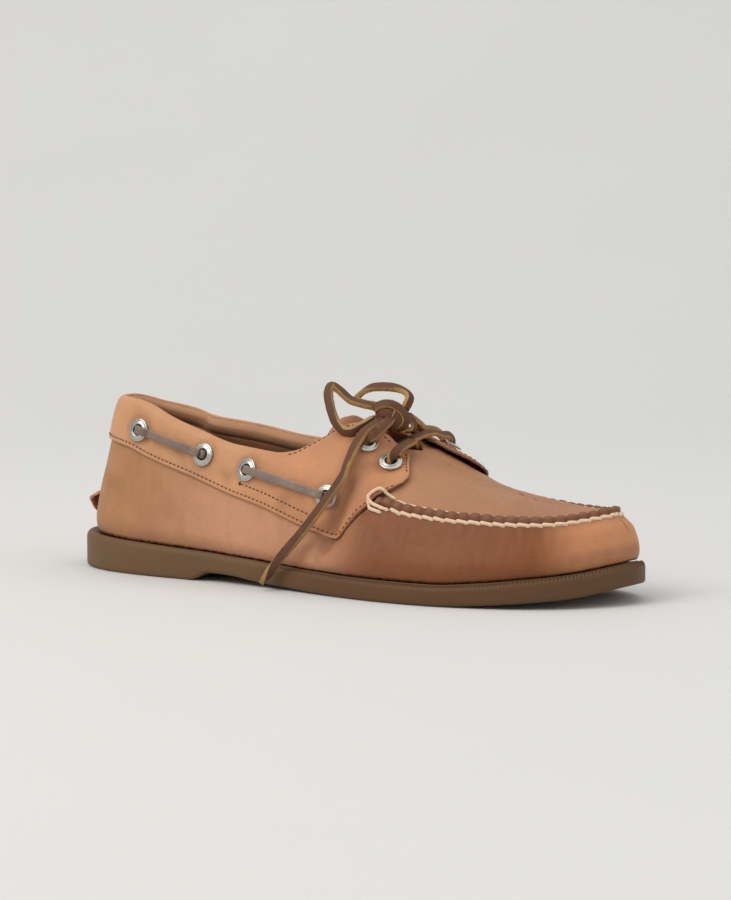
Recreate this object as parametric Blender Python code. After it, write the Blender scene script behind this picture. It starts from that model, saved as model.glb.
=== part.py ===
"""Right boat shoe with a moc toe, collar lacing and a flat moulded sole.

Metres, +Z up, +X towards the toe, +Y towards the inner (medial) side.
The origin is on the floor, under the middle of the sole.
"""

import math
from functools import lru_cache

import bmesh
import bpy
import numpy as np
from mathutils import Matrix, Vector
from mathutils.bvhtree import BVHTree

# Sole
SOLE_LENGTH = 0.292
BALL_WIDTH = 0.1035
HEEL_THICKNESS = 0.0160
BALL_THICKNESS = 0.0094
HEEL_BREAST = 0.0042
TOE_SPRING = 0.0083
SOLE_LIP = 0.0016

# Upper, as heights over the sole's top
COLLAR_RISE = 0.0640
INSTEP_RISE = 0.0640
SEAM_RISE = 0.0280
WALL = 0.0020
COLLAR_PAD = 0.0060
COLLAR_PAD_DEPTH = 0.016
WELT_MARGIN = 0.0038
MOC_RIDGE = 0.0024
MOC_RIDGE_WIDTH = 0.0050
PANEL_WALL = 0.0015
INSOLE_THICKNESS = 0.0030
TONGUE_THICKNESS = 0.0022
TONGUE_CORNER = 0.0060
TONGUE_GAP = 0.0016
TONGUE_BOW = 1.8
CLEARANCE = 0.0003
EYELET_FEEL = ((-0.008, 0.0), (0.008, 0.0), (0.0, -0.1), (0.0, 0.1), (0.0, 0.0))
HEEL_FOCUS = 0.0700
THROAT_SKEW = 0.0090
LACE_LINE = 0.0030

# Eyelets and lace
EYELET_RADIUS = 0.0054
EYELET_BORE = 0.0026
EYELET_BARREL = 0.0032
EYELET_RIM = 0.0011
EYELET_SIDES = 8
LACE_DIAMETER = 0.0034
LACE_SIDES = 8
LACE_BEND = ((-1.15, 0.0), (0.10, 0.0), (0.56, 0.12), (0.91, 0.50), (1.04, 1.10))
KNOT_CORE = (1.55, 1.25, 1.45)
KNOT_REACH = 1.25
KNOT_WRAPS = ((0.35, 1.0, 0.1), (-0.5, 0.9, 0.45))

# Heel tab
TAB_WIDTH = 0.0130
TAB_REACH = 0.0040
TAB_WALL = 0.0016
TAB_UP = (-0.60, -0.68, -0.76, -0.80, -0.82)
TAB_OUT = (0.0, 0.0, 0.12, 0.42, 0.80)

# Where the throat ends along the outer edge, and the column that starts there.
THROAT_END = 0.595
SEAM_END = 0.630
BELLY_UP = 0.34
WELD = 0.000002
HOLE_DEPTH = 0.016
INNER_TAB_LIFT = 0.0015
INNER_BULGE = 1.2
TAB_SLACK = 0.0007
INSOLE_GAP = 0.0004
# Rows of the upper's outer face below the seam, across the ridge and above it, and of its inner face.
LOW_ROWS = (-1.0, -0.76, -0.50, -0.26, -0.08)
RIDGE_ROWS = ((0.0, 0.0), (0.25, 0.85), (0.75, 0.90))
HIGH_ROWS = (0.0, 0.22, 0.42, 0.61, 0.78, 0.91, 1.0)
INNER_ROWS = (-1.0, -0.66, -0.33, 0.0, 0.20, 0.42, 0.61, 0.78, 0.90, 1.0)
GATE = 0.55
GATE_BLEND = 0.016
REAR_COLUMNS = 19
FRONT_COLUMNS = 15
SOLE_STEPS = 34
FEEL_ALONG = 0.008
FEEL_UP = 0.03

# Plan of the sole. along is a share of SOLE_LENGTH from the heel,
# outer and inner are reaches from the centre line as shares of BALL_WIDTH.
PLAN_COLUMNS = ("along", "outer", "inner")
PLAN = (
    (0.000, 0.000, 0.000),
    (0.030, 0.193, 0.193),
    (0.085, 0.304, 0.309),
    (0.160, 0.357, 0.347),
    (0.260, 0.372, 0.333),
    (0.360, 0.384, 0.313),
    (0.460, 0.415, 0.325),
    (0.560, 0.464, 0.391),
    (0.660, 0.500, 0.469),
    (0.760, 0.488, 0.489),
    (0.850, 0.420, 0.450),
    (0.925, 0.304, 0.372),
    (0.975, 0.135, 0.255),
    (1.000, -0.058, 0.058),
)

# Heights of the sole. top is a share of the step from BALL_THICKNESS (0) to
# HEEL_THICKNESS (1), arch of HEEL_BREAST and spring of TOE_SPRING.
SOLE_COLUMNS = ("along", "top", "arch", "spring")
SOLE = (
    (0.00, 1.08, 0.00, 0.00),
    (0.05, 1.06, 0.00, 0.00),
    (0.15, 0.93, 0.00, 0.00),
    (0.28, 0.69, 0.00, 0.00),
    (0.32, 0.61, 1.00, 0.00),
    (0.36, 0.50, 0.92, 0.00),
    (0.42, 0.35, 0.50, 0.00),
    (0.49, 0.16, 0.26, 0.00),
    (0.56, 0.07, 0.06, 0.00),
    (0.60, 0.02, 0.00, 0.00),
    (0.75, 0.00, 0.00, 0.00),
    (0.83, 0.05, 0.00, 0.15),
    (0.89, 0.13, 0.00, 0.32),
    (0.95, 0.16, 0.00, 0.55),
    (1.00, 0.10, 0.00, 1.00),
)

# Sections of the upper, one row for each place along the sole's edge.
# seam is the low edge of the collar panel behind and the moc seam in front:
#   seam_in is its inset from the sole's edge, of BALL_WIDTH, seam_up its height, of SEAM_RISE.
# welt is the feather's inset, of WELT_MARGIN, and belly how far the wall stands out past it, of BALL_WIDTH.
# edge is the collar's and the throat's edge: edge_in of BALL_WIDTH, outer_up and inner_up of its rise.
# crown is the knot between seam and edge: a share of that step, and how far it bows out.
SECTION_COLUMNS = (
    "along", "welt", "seam_in", "seam_up", "belly", "edge_in", "outer_up", "inner_up", "crown_at", "crown_out",
)
SECTIONS = (
    (0.000, 1.55, 0.135, 1.580, 0.004, 0.215, 0.990, 0.990, 0.86, 0.10),
    (0.040, 1.40, 0.126, 1.570, 0.006, 0.200, 0.995, 0.955, 0.86, 0.10),
    (0.100, 1.15, 0.100, 1.540, 0.008, 0.172, 0.995, 0.925, 0.86, 0.10),
    (0.170, 1.00, 0.080, 1.410, 0.010, 0.152, 0.950, 0.875, 0.86, 0.10),
    (0.260, 1.00, 0.064, 1.215, 0.012, 0.136, 0.845, 0.827, 0.84, 0.10),
    (0.350, 1.00, 0.052, 0.990, 0.014, 0.128, 0.760, 0.785, 0.82, 0.10),
    (0.425, 1.00, 0.042, 0.860, 0.014, 0.122, 0.750, 0.775, 0.78, 0.10),
    (0.455, 1.00, 0.040, 0.790, 0.014, 0.140, 0.775, 0.795, 0.66, 0.12),
    (0.480, 1.00, 0.044, 0.720, 0.014, 0.200, 0.855, 0.860, 0.56, 0.15),
    (0.505, 1.00, 0.050, 0.650, 0.013, 0.286, 0.965, 0.930, 0.50, 0.17),
    (0.535, 1.00, 0.058, 0.575, 0.012, 0.315, 0.985, 0.945, 0.48, 0.17),
    (0.565, 1.00, 0.070, 0.520, 0.010, 0.344, 0.915, 0.900, 0.48, 0.16),
    (0.585, 1.00, 0.094, 0.740, 0.009, 0.372, 0.835, 0.850, 0.49, 0.14),
    (0.600, 1.00, 0.110, 0.930, 0.008, 0.395, 0.845, 0.845, 0.50, 0.12),
    (0.630, 1.00, 0.124, 1.115, 0.006, 0.400, 0.840, 0.840, 0.50, 0.09),
    (0.680, 1.00, 0.134, 1.030, 0.004, 0.400, 0.840, 0.840, 0.50, 0.08),
    (0.740, 1.00, 0.136, 0.980, 0.004, 0.400, 0.840, 0.840, 0.50, 0.07),
    (0.800, 1.00, 0.132, 0.925, 0.006, 0.400, 0.840, 0.840, 0.50, 0.06),
    (0.860, 1.00, 0.124, 0.843, 0.009, 0.400, 0.840, 0.840, 0.50, 0.06),
    (0.920, 1.00, 0.114, 0.775, 0.012, 0.400, 0.840, 0.840, 0.50, 0.05),
    (1.000, 1.00, 0.105, 0.720, 0.014, 0.400, 0.840, 0.840, 0.50, 0.05),
)

# The crest of the apron, from the throat's front end to the toe. along is a share of
# SOLE_LENGTH, side of BALL_WIDTH, up of INSTEP_RISE less SEAM_RISE, over the seam's height.
CREST_COLUMNS = ("along", "side", "up")
CREST = (
    (0.630, 0.030, 0.590),
    (0.650, 0.065, 0.525),
    (0.680, 0.100, 0.430),
    (0.715, 0.115, 0.350),
    (0.745, 0.120, 0.285),
    (0.780, 0.120, 0.230),
    (0.815, 0.120, 0.170),
    (0.850, 0.115, 0.125),
    (0.910, 0.100, 0.100),
)

# The collar panel's front tab past the throat, for each side: the shares of the
# step from seam to edge where its low and high edges run.
TAB_COLUMNS = ("along", "low", "high")
OUTER_TAB = (
    (0.595, 0.000, 0.830),
    (0.610, 0.000, 0.730),
    (0.625, 0.060, 0.600),
    (0.638, 0.170, 0.500),
    (0.648, 0.300, 0.410),
)
INNER_TAB = (
    (0.595, 0.000, 0.840),
    (0.620, 0.000, 0.820),
    (0.640, 0.060, 0.780),
    (0.658, 0.240, 0.710),
    (0.672, 0.430, 0.620),
)

# Eyelets: place along the sole's edge and share of the step from seam to edge, on each side.
EYELET_COLUMNS = ("name", "outer_along", "outer_up", "inner_along", "inner_up")
EYELETS = (
    ("rear", 0.141, 0.42, 0.141, 0.42),
    ("mid_rear", 0.295, 0.54, 0.300, 0.54),
    ("mid_front", 0.385, 0.56, 0.400, 0.56),
    ("side_front", 0.540, 0.28, 0.566, 0.28),
    ("top", 0.556, 0.82, 0.580, 0.84),
    ("throat_front", 0.594, 0.59, 0.634, 0.64),
)

# Tongue sections from its free top to its end under the apron: along of SOLE_LENGTH,
# side and half of BALL_WIDTH, up of INSTEP_RISE over the sole, fall of the half width.
TONGUE_COLUMNS = ("along", "side", "up", "half", "fall")
TONGUE = (
    (0.480, 0.045, 1.010, 0.240, 0.62),
    (0.500, 0.040, 1.030, 0.240, 0.66),
    (0.530, 0.030, 0.975, 0.225, 0.72),
    (0.560, 0.030, 0.890, 0.205, 0.74),
    (0.590, 0.035, 0.800, 0.185, 0.70),
    (0.620, 0.045, 0.735, 0.165, 0.62),
    (0.665, 0.070, 0.640, 0.140, 0.52),
)


# Routes of the lace. along is a share of SOLE_LENGTH from the heel, side of BALL_WIDTH
# from the middle line and up of the throat's front height over the floor.
ROUTE_COLUMNS = ("along", "side", "up")
UNDER_STRAND = (
    (0.626, -0.110, 1.052),
    (0.627, -0.068, 1.068),
    (0.620, -0.010, 1.072),
    (0.610, 0.048, 1.033),
    (0.601, 0.101, 0.984),
    (0.591, 0.155, 0.959),
)
OVER_STRAND = (
    (0.635, 0.169, 1.101),
    (0.627, 0.121, 1.120),
    (0.616, 0.068, 1.101),
    (0.611, 0.024, 1.079),
    (0.598, -0.020, 1.031),
    (0.587, -0.073, 0.974),
    (0.578, -0.116, 0.955),
)
KNOT_STRAND = (
    (0.598, -0.169, 1.175),
    (0.597, -0.097, 1.226),
    (0.590, -0.029, 1.254),
    (0.588, 0.048, 1.242),
    (0.585, 0.125, 1.209),
)
REAR_LOOP = (
    (0.560, -0.026, 1.310),
    (0.532, -0.039, 1.335),
    (0.515, -0.048, 1.357),
    (0.496, -0.068, 1.437),
    (0.488, -0.087, 1.467),
    (0.489, -0.116, 1.397),
    (0.512, -0.170, 1.237),
    (0.536, -0.203, 1.160),
    (0.551, -0.203, 1.152),
    (0.561, -0.166, 1.186),
    (0.567, -0.101, 1.227),
)
FRONT_LOOP = (
    (0.558, 0.024, 1.304),
    (0.505, 0.043, 1.346),
    (0.522, 0.058, 1.429),
    (0.549, 0.063, 1.451),
    (0.581, 0.058, 1.440),
    (0.605, 0.034, 1.390),
    (0.604, 0.001, 1.304),
)
OUTER_END = (
    (0.582, -0.089, 1.231),
    (0.578, -0.152, 1.191),
    (0.574, -0.200, 1.150),
    (0.574, -0.270, 1.056),
    (0.573, -0.321, 0.944),
    (0.576, -0.382, 0.845),
    (0.560, -0.441, 0.684),
    (0.538, -0.450, 0.550),
    (0.517, -0.456, 0.432),
    (0.480, -0.458, 0.250),
    (0.446, -0.458, 0.056),
)
INNER_END = (
    (0.602, 0.034, 1.256),
    (0.602, 0.116, 1.190),
    (0.600, 0.169, 1.149),
    (0.603, 0.251, 1.122),
    (0.611, 0.319, 1.025),
    (0.615, 0.377, 0.887),
    (0.611, 0.415, 0.726),
    (0.603, 0.435, 0.565),
    (0.591, 0.444, 0.404),
    (0.579, 0.449, 0.242),
    (0.568, 0.454, 0.113),
)


def clear_scene():
    for item in list(bpy.data.objects):
        bpy.data.objects.remove(item, do_unlink=True)


@lru_cache(maxsize=None)
def column(table, names, name):
    return np.array([row[names.index(name)] for row in table], float)


def smooth_value(xs, ys, x):
    """Monotone cubic through the rows of a table."""
    x = min(max(x, xs[0]), xs[-1])
    slopes = np.diff(ys) / np.diff(xs)
    k = int(min(max(np.searchsorted(xs, x) - 1, 0), len(xs) - 2))

    def tangent(i):
        if i in (0, len(xs) - 1):
            return slopes[0] if i == 0 else slopes[-1]
        if slopes[i - 1] * slopes[i] <= 0:
            return 0.0
        return 2.0 * slopes[i - 1] * slopes[i] / (slopes[i - 1] + slopes[i])

    step = xs[k + 1] - xs[k]
    u = (x - xs[k]) / step
    return (
        ys[k] * (1 + 2 * u) * (1 - u) ** 2
        + tangent(k) * step * u * (1 - u) ** 2
        + ys[k + 1] * u * u * (3 - 2 * u)
        - tangent(k + 1) * step * u * u * (1 - u)
    )


def smooth_step(low, high, x):
    u = min(max((x - low) / (high - low), 0.0), 1.0)
    return u * u * (3 - 2 * u)


def closed_spline(points):
    """Periodic cubic through points; returns knots and a function of arc position."""
    points = np.asarray(points, float)
    count = len(points)
    around = np.vstack([points, points[:1]])
    gaps = np.linalg.norm(np.diff(around, axis=0), axis=1)
    knots = np.concatenate([[0.0], np.cumsum(gaps)])
    matrix = np.zeros((count, count))
    right = np.zeros_like(points)
    for i in range(count):
        before, after = gaps[i - 1], gaps[i]
        matrix[i, i - 1] += 1 / before
        matrix[i, i] += 2 / before + 2 / after
        matrix[i, (i + 1) % count] += 1 / after
        right[i] = 3 * ((around[i] - around[i - 1 if i else count - 1]) / before ** 2
                        + (around[i + 1] - around[i]) / after ** 2)
    tangents = np.linalg.solve(matrix, right)

    def at(s):
        s = s % knots[-1]
        k = int(min(np.searchsorted(knots, s, side="right") - 1, count - 1))
        u = (s - knots[k]) / gaps[k]
        first, last = around[k], around[k + 1]
        return (
            first * (1 + 2 * u) * (1 - u) ** 2
            + tangents[k] * gaps[k] * u * (1 - u) ** 2
            + last * u * u * (3 - 2 * u)
            - tangents[(k + 1) % count] * gaps[k] * u * u * (1 - u)
        )

    return knots, at


class Plan:
    """The sole's edge seen from above, for the outer (-1) and inner (+1) side."""

    def __init__(self):
        along = column(PLAN, PLAN_COLUMNS, "along")
        outer = column(PLAN, PLAN_COLUMNS, "outer")
        inner = column(PLAN, PLAN_COLUMNS, "inner")
        lateral = [(a * SOLE_LENGTH, -o * BALL_WIDTH) for a, o in zip(along, outer)]
        medial = [(a * SOLE_LENGTH, i * BALL_WIDTH) for a, i in zip(along, inner)]
        knots, self.at = closed_spline(lateral + medial[-2:0:-1])
        self.total = knots[-1]
        self.toe = knots[len(lateral) - 1]
        sides = [self.at(self.total * k / 400)[1] for k in range(400)]
        self.middle = (max(sides) + min(sides)) / 2
        self.shares = {}
        for side in (-1, 1):
            reach = [self.raw(side, k / 200)[0] / SOLE_LENGTH for k in range(201)]
            self.shares[side] = np.maximum.accumulate(np.array(reach))

    def raw(self, side, q):
        if side < 0:
            return self.at(self.toe * q)
        return self.at(self.total - (self.total - self.toe) * q)

    @lru_cache(maxsize=None)
    def edge(self, side, q):
        x, y = self.raw(side, q)
        return np.array([x - SOLE_LENGTH / 2, y - self.middle])

    @lru_cache(maxsize=None)
    def inward(self, side, q):
        step = 0.004
        other = -side
        ahead = self.edge(side, q + step) if q + step <= 1 else self.edge(other, 2 - q - step)
        behind = self.edge(side, q - step) if q >= step else self.edge(other, step - q)
        way = ahead - behind
        way /= np.linalg.norm(way)
        return np.array([way[1], -way[0]]) * side

    @lru_cache(maxsize=None)
    def lean(self, side, q):
        """The way the upper leans in: towards a focus round the heel, square to the edge further on,
        and straight across at the inner side's throat."""
        edge = self.edge(side, q)
        focus = np.array([HEEL_FOCUS - SOLE_LENGTH / 2, 0.0]) - edge
        focus /= np.linalg.norm(focus)
        weight = smooth_step(0.10, 0.23, edge[0] / SOLE_LENGTH + 0.5)
        way = focus * (1 - weight) + self.inward(side, q) * weight
        if side > 0:
            place = edge[0] / SOLE_LENGTH + 0.5
            straight = smooth_step(0.40, 0.52, place) * (1 - smooth_step(0.68, 0.80, place))
            way = way * (1 - straight) + np.array([0.0, -1.0]) * straight
        return way / np.linalg.norm(way)

    def along(self, side, q):
        return float(np.interp(q, np.linspace(0, 1, 201), self.shares[side]))

    def share_at(self, side, along):
        return float(np.interp(along, self.shares[side], np.linspace(0, 1, 201)))


PLAN_CURVE = Plan()


def sole_top(along):
    xs = column(SOLE, SOLE_COLUMNS, "along")
    share = smooth_value(xs, column(SOLE, SOLE_COLUMNS, "top"), along)
    spring = smooth_value(xs, column(SOLE, SOLE_COLUMNS, "spring"), along)
    return BALL_THICKNESS + share * (HEEL_THICKNESS - BALL_THICKNESS) + spring * TOE_SPRING


def sole_bottom(along):
    xs = column(SOLE, SOLE_COLUMNS, "along")
    arch = smooth_value(xs, column(SOLE, SOLE_COLUMNS, "arch"), along)
    spring = smooth_value(xs, column(SOLE, SOLE_COLUMNS, "spring"), along)
    return arch * HEEL_BREAST + spring * TOE_SPRING


def section(name, along):
    xs = column(SECTIONS, SECTION_COLUMNS, "along")
    return smooth_value(xs, column(SECTIONS, SECTION_COLUMNS, name), along)


def skewed(side, along):
    """The inner side's throat lies further forward than the outer side's."""
    if side < 0:
        return along
    shift = smooth_step(0.10, 0.45, along) * (1 - smooth_step(0.68, 0.90, along))
    return along - THROAT_SKEW / SOLE_LENGTH * shift


def crest(share):
    """A point of the apron's crest, from the throat (0) to the toe (1)."""
    xs = column(CREST, CREST_COLUMNS, "along")
    along = xs[0] + (xs[-1] - xs[0]) * share
    side = smooth_value(xs, column(CREST, CREST_COLUMNS, "side"), along)
    up = smooth_value(xs, column(CREST, CREST_COLUMNS, "up"), along)
    seam = section("seam_up", max(along, SEAM_END)) * SEAM_RISE
    height = sole_top(along) + seam + up * (INSTEP_RISE - SEAM_RISE)
    return np.array([(along - 0.5) * SOLE_LENGTH, side * BALL_WIDTH, height])


def gate_share(side):
    """The share of a side's edge where the throat ends."""
    skew = THROAT_SKEW / SOLE_LENGTH if side > 0 else 0.0
    return PLAN_CURVE.share_at(side, THROAT_END + skew)


GATE_SHARES = {side: gate_share(side) for side in (-1, 1)}


def edge_share(side, c):
    """Column c, the same on both sides, as a share of this side's edge."""
    gate = GATE_SHARES[side]
    if c <= GATE:
        return gate * c / GATE
    return gate + (1 - gate) * (c - GATE) / (1 - GATE)


def column_at(side, along):
    """The column that starts at a place along the sole's edge."""
    q = PLAN_CURVE.share_at(side, along)
    gate = GATE_SHARES[side]
    if q <= gate:
        return GATE * q / gate
    return GATE + (1 - GATE) * (q - gate) / (1 - gate)


def unskewed(side, along):
    """The place on this side that has the section of a place on the outer side."""
    if side < 0:
        return along
    guess = along
    for _ in range(8):
        guess += along - skewed(side, guess)
    return guess


def throat_scale(side, along):
    """How much further than the mean the lace line lies from this side's edge."""
    gaps = []
    for each in (-1, 1):
        y = PLAN_CURVE.edge(each, PLAN_CURVE.share_at(each, along))[1]
        gaps.append(abs(y - LACE_LINE))
    own = gaps[0] if side < 0 else gaps[1]
    weight = smooth_step(0.40, 0.50, along)
    return 1 + weight * (2 * own / (gaps[0] + gaps[1]) - 1)


@lru_cache(maxsize=None)
def knots_of(side, c):
    """Feather, belly, seam, crown and edge points of one column, and how creased its seam is."""
    q = edge_share(side, c)
    place = PLAN_CURVE.along(side, q)
    along = skewed(side, place)
    edge = PLAN_CURVE.edge(side, q)
    inward = PLAN_CURVE.inward(side, q)
    lean = PLAN_CURVE.lean(side, q)
    base = sole_top(place) + CLEARANCE

    def point(inset, up, way=lean):
        x, y = edge + way * inset
        return np.array([x, y, base + up])

    seam_up = section("seam_up", along) * SEAM_RISE
    margin = section("welt", along) * WELT_MARGIN
    feather = point(margin, 0.0, inward)
    belly = point(margin - section("belly", along) * BALL_WIDTH, BELLY_UP * min(seam_up, SEAM_RISE), inward)
    seam = point(section("seam_in", along) * BALL_WIDTH, seam_up)
    if c <= GATE:
        rise = COLLAR_RISE + (INSTEP_RISE - COLLAR_RISE) * smooth_step(0.42, 0.50, along)
        inset = section("edge_in", along) * BALL_WIDTH * throat_scale(side, place)
        top = point(inset, section("outer_up" if side < 0 else "inner_up", along) * rise)
        close = smooth_step(GATE - GATE_BLEND, GATE, c)
        top = top * (1 - close) + crest(0.0) * close
    else:
        top = crest((c - GATE) / (1 - GATE))
    step = top - seam
    flat = np.array([-lean[0], -lean[1], 0.0])
    bow = flat * step[2] - np.array([0.0, 0.0, 1.0]) * float(np.dot(step, flat))
    bow *= section("crown_out", along)
    if side > 0:
        bow *= 1 + INNER_BULGE * smooth_step(0.52, 0.60, along) * (1 - smooth_step(0.64, 0.76, along))
    crown = seam + step * section("crown_at", along) + bow
    fold = smooth_step(0.585, 0.66, along)
    return [feather, belly, seam, crown, top], fold


def hermite(a, b, ta, tb, u):
    return (
        a * (1 + 2 * u) * (1 - u) ** 2
        + ta * u * (1 - u) ** 2
        + b * u * u * (3 - 2 * u)
        - tb * u * u * (1 - u)
    )


def form_low(side, c, v):
    """The last's wall from the feather (0) to the seam (1)."""
    (feather, belly, seam, crown, _), fold = knots_of(side, c)
    first = np.linalg.norm(belly - feather)
    second = np.linalg.norm(seam - belly)
    smooth = (crown - belly) / (np.linalg.norm(crown - seam) + second)
    broken = (seam - belly) / second
    end = smooth * (1 - fold) + broken * fold
    middle = (seam - feather) / (first + second)
    split = first / (first + second)
    if v <= split:
        start = 2 * (belly - feather) / first - middle
        return hermite(feather, belly, start * first, middle * first, v / split)
    u = (v - split) / (1 - split)
    return hermite(belly, seam, middle * second, end * second, u)


def form_high(side, c, v):
    """The last from the seam (0) to the collar, throat or crest (1)."""
    (_, belly, seam, crown, top), fold = knots_of(side, c)
    first = np.linalg.norm(crown - seam)
    second = np.linalg.norm(top - crown)
    smooth = (crown - belly) / (first + np.linalg.norm(seam - belly))
    middle = (top - seam) / (first + second)
    broken = 2 * (crown - seam) / first - middle
    start = smooth * (1 - fold) + broken * fold
    split = first / (first + second)
    if v <= split:
        return hermite(seam, crown, start * first, middle * first, v / split)
    finish = 2 * (top - crown) / second - middle
    return hermite(crown, top, middle * second, finish * second, (v - split) / (1 - split))


def form(side, c, v):
    """A point of the last: v is -1 at the feather, 0 at the seam and 1 at the edge or crest."""
    if v < 0:
        return form_low(side, c, v + 1)
    return form_high(side, c, v)


def around(side, c, v):
    """The last's point past the heel or the toe, where the other side begins."""
    if c < 0:
        return form(-side, -c, v)
    if c > 1:
        return form(-side, 2 - c, v)
    return form(side, c, v)


def normal_at(side, c, v):
    """The outward normal of the last."""
    if c > 0.995:
        v = min(v, 0.97)
    step = FEEL_ALONG
    last = GATE - GATE_BLEND
    ahead = around(side, min(c + step, last) if c < last + WELD else c + step, v)
    behind = around(side, max(c - step, GATE) if c > GATE - WELD else c - step, v)
    rise = FEEL_UP
    if v + rise > 1.0 and c > GATE - WELD:
        over = form(-side, c, 2 - v - rise)
    else:
        over = form(side, c, min(v + rise, 1.0))
    under = form(side, c, max(v - rise, -1.0))
    normal = np.cross(ahead - behind, over - under) * -side
    return normal / np.linalg.norm(normal)


def offset(side, c, v, distance):
    return form(side, c, v) + normal_at(side, c, v) * distance


@lru_cache(maxsize=None)
def high_length(side, c):
    """Length of a column from the seam to its edge or crest."""
    points = [form(side, c, k / 8) for k in range(9)]
    return float(sum(np.linalg.norm(b - a) for a, b in zip(points, points[1:])))


def ridge_fade(side, c):
    """The moc ridge rises from nothing where the seam begins."""
    along = skewed(side, PLAN_CURVE.along(side, edge_share(side, c)))
    return smooth_step(SEAM_END - 0.012, SEAM_END + 0.022, along)


def upper_rows(side, c):
    """Rows of one column of the upper, each with the height that the moc ridge gives it."""
    width = MOC_RIDGE_WIDTH / high_length(side, c)
    height = MOC_RIDGE * ridge_fade(side, c)
    low = [(v, 0.0) for v in LOW_ROWS]
    ridge = [(across * width, up * height) for across, up in RIDGE_ROWS]
    high = [(width + (1 - width) * k, 0.0) for k in HIGH_ROWS]
    return low + ridge + high


def pad_weight(side, c):
    """The collar is padded from the heel to the eyestays."""
    along = skewed(side, PLAN_CURVE.along(side, edge_share(side, c)))
    return 1 - smooth_step(0.43, 0.49, along)


def inner_point(side, c, v):
    """The upper's inside, with the collar's pad."""
    thin = offset(side, c, v, -WALL)
    weight = pad_weight(side, c)
    start = 1 - COLLAR_PAD_DEPTH / high_length(side, c)
    if weight == 0 or v <= start:
        return thin
    share = (v - start) / (1 - start)
    inward = PLAN_CURVE.lean(side, edge_share(side, c))
    inward = np.array([inward[0], inward[1], 0.0])
    foot = offset(side, c, start, -WALL)
    top = form(side, c, 1.0) + inward * 0.5 * COLLAR_PAD - np.array([0.0, 0.0, 0.5 * COLLAR_PAD])
    chord = foot + (top - foot) * share
    bulge = inward * COLLAR_PAD * 0.5 * share * (1 - share)
    return thin * (1 - weight) + (chord + bulge) * weight


def upper_columns():
    """Columns of the upper, closer together round the heel and the toe and at the throat's end."""
    rear = [GATE * k / REAR_COLUMNS for k in range(REAR_COLUMNS)]
    throat_end = GATE - GATE_BLEND
    rear = [c for c in rear if c < throat_end - 0.01] + [throat_end, GATE - 0.5 * GATE_BLEND]
    front = [GATE + (1 - GATE) * k / FRONT_COLUMNS for k in range(FRONT_COLUMNS + 1)]
    return rear + front


def new_mesh(name, colour, roughness, metallic=0.0):
    mesh = bpy.data.meshes.new(name)
    item = bpy.data.objects.new(name, mesh)
    PARTS.objects.link(item)
    item.data.materials.append(new_material(name, colour, roughness, metallic))
    return item


def new_material(name, colour, roughness, metallic):
    material = bpy.data.materials.new(name)
    material.use_nodes = True
    shader = material.node_tree.nodes["Principled BSDF"]
    shader.inputs["Base Color"].default_value = (*colour, 1.0)
    shader.inputs["Roughness"].default_value = roughness
    shader.inputs["Metallic"].default_value = metallic
    return material


def fill(item, bm):
    """Weld the sheets' shared edges and turn the faces out."""
    bmesh.ops.remove_doubles(bm, verts=bm.verts, dist=WELD)
    bmesh.ops.dissolve_degenerate(bm, edges=bm.edges, dist=WELD)
    bmesh.ops.recalc_face_normals(bm, faces=bm.faces)
    bmesh.ops.triangulate(bm, faces=bm.faces)
    bm.to_mesh(item.data)
    bm.free()
    item.data.shade_smooth()
    item.data.set_sharp_from_angle(angle=math.radians(40))
    return item


def add_sheet(bm, grid):
    """Faces between the rows and columns of a grid of points."""
    verts = [[bm.verts.new(Vector(point)) for point in line] for line in grid]
    for first, second in zip(verts, verts[1:]):
        for a, b, c, d in zip(first, first[1:], second[1:], second):
            bm.faces.new((a, b, c, d))


def add_shell(bm, outer, inner):
    """Two sheets of the same grid joined along their borders."""
    add_sheet(bm, outer)
    add_sheet(bm, [list(reversed(line)) for line in inner])
    add_sheet(bm, [[line[0] for line in inner], [line[0] for line in outer]])
    add_sheet(bm, [[line[-1] for line in outer], [line[-1] for line in inner]])
    add_sheet(bm, [inner[0], outer[0]])
    add_sheet(bm, [outer[-1], inner[-1]])


def make_upper():
    item = new_mesh("upper", (0.45, 0.22, 0.11), 0.55)
    bm = bmesh.new()
    for side in (-1, 1):
        columns = upper_columns()
        rows = [upper_rows(side, c) for c in columns]
        outer = [[offset(side, c, v, h) for v, h in row] for c, row in zip(columns, rows)]
        inner = [[inner_point(side, c, v) for v in INNER_ROWS] for c in columns]
        add_sheet(bm, outer)
        add_sheet(bm, inner)
        add_sheet(bm, [[line[0] for line in outer], [line[0] for line in inner]])
        rim = [k for k, c in enumerate(columns) if c <= GATE + WELD]
        add_sheet(bm, [[outer[k][-1] for k in rim], [rim_point(side, columns[k]) for k in rim]])
        add_sheet(bm, [[rim_point(side, columns[k]) for k in rim], [inner[k][-1] for k in rim]])
    return fill(item, bm)


def rim_point(side, c):
    """The middle of the edge between the upper's faces, rounded over at the collar."""
    outer = form(side, c, 1.0)
    inner = inner_point(side, c, 1.0)
    middle = (outer + inner) / 2
    weight = pad_weight(side, c)
    if c > GATE - WELD:
        return middle
    across = outer - inner
    up = np.array([0.0, 0.0, 0.21 * np.linalg.norm(across)])
    inward = PLAN_CURVE.lean(side, edge_share(side, c))
    return middle + (up + np.array([*inward, 0.0]) * 0.6 * up[2]) * weight


def panel_span(side, c):
    """The shares of a column, from seam to edge, that the collar panel covers."""
    table = OUTER_TAB if side < 0 else INNER_TAB
    along = skewed(side, PLAN_CURVE.along(side, edge_share(side, c)))
    xs = column(table, TAB_COLUMNS, "along")
    bound = smooth_step(GATE - GATE_BLEND, GATE, c)
    low = smooth_value(xs, column(table, TAB_COLUMNS, "low"), along)
    high = smooth_value(xs, column(table, TAB_COLUMNS, "high"), along)
    return low * bound, 1 - (1 - high) * bound


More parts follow.
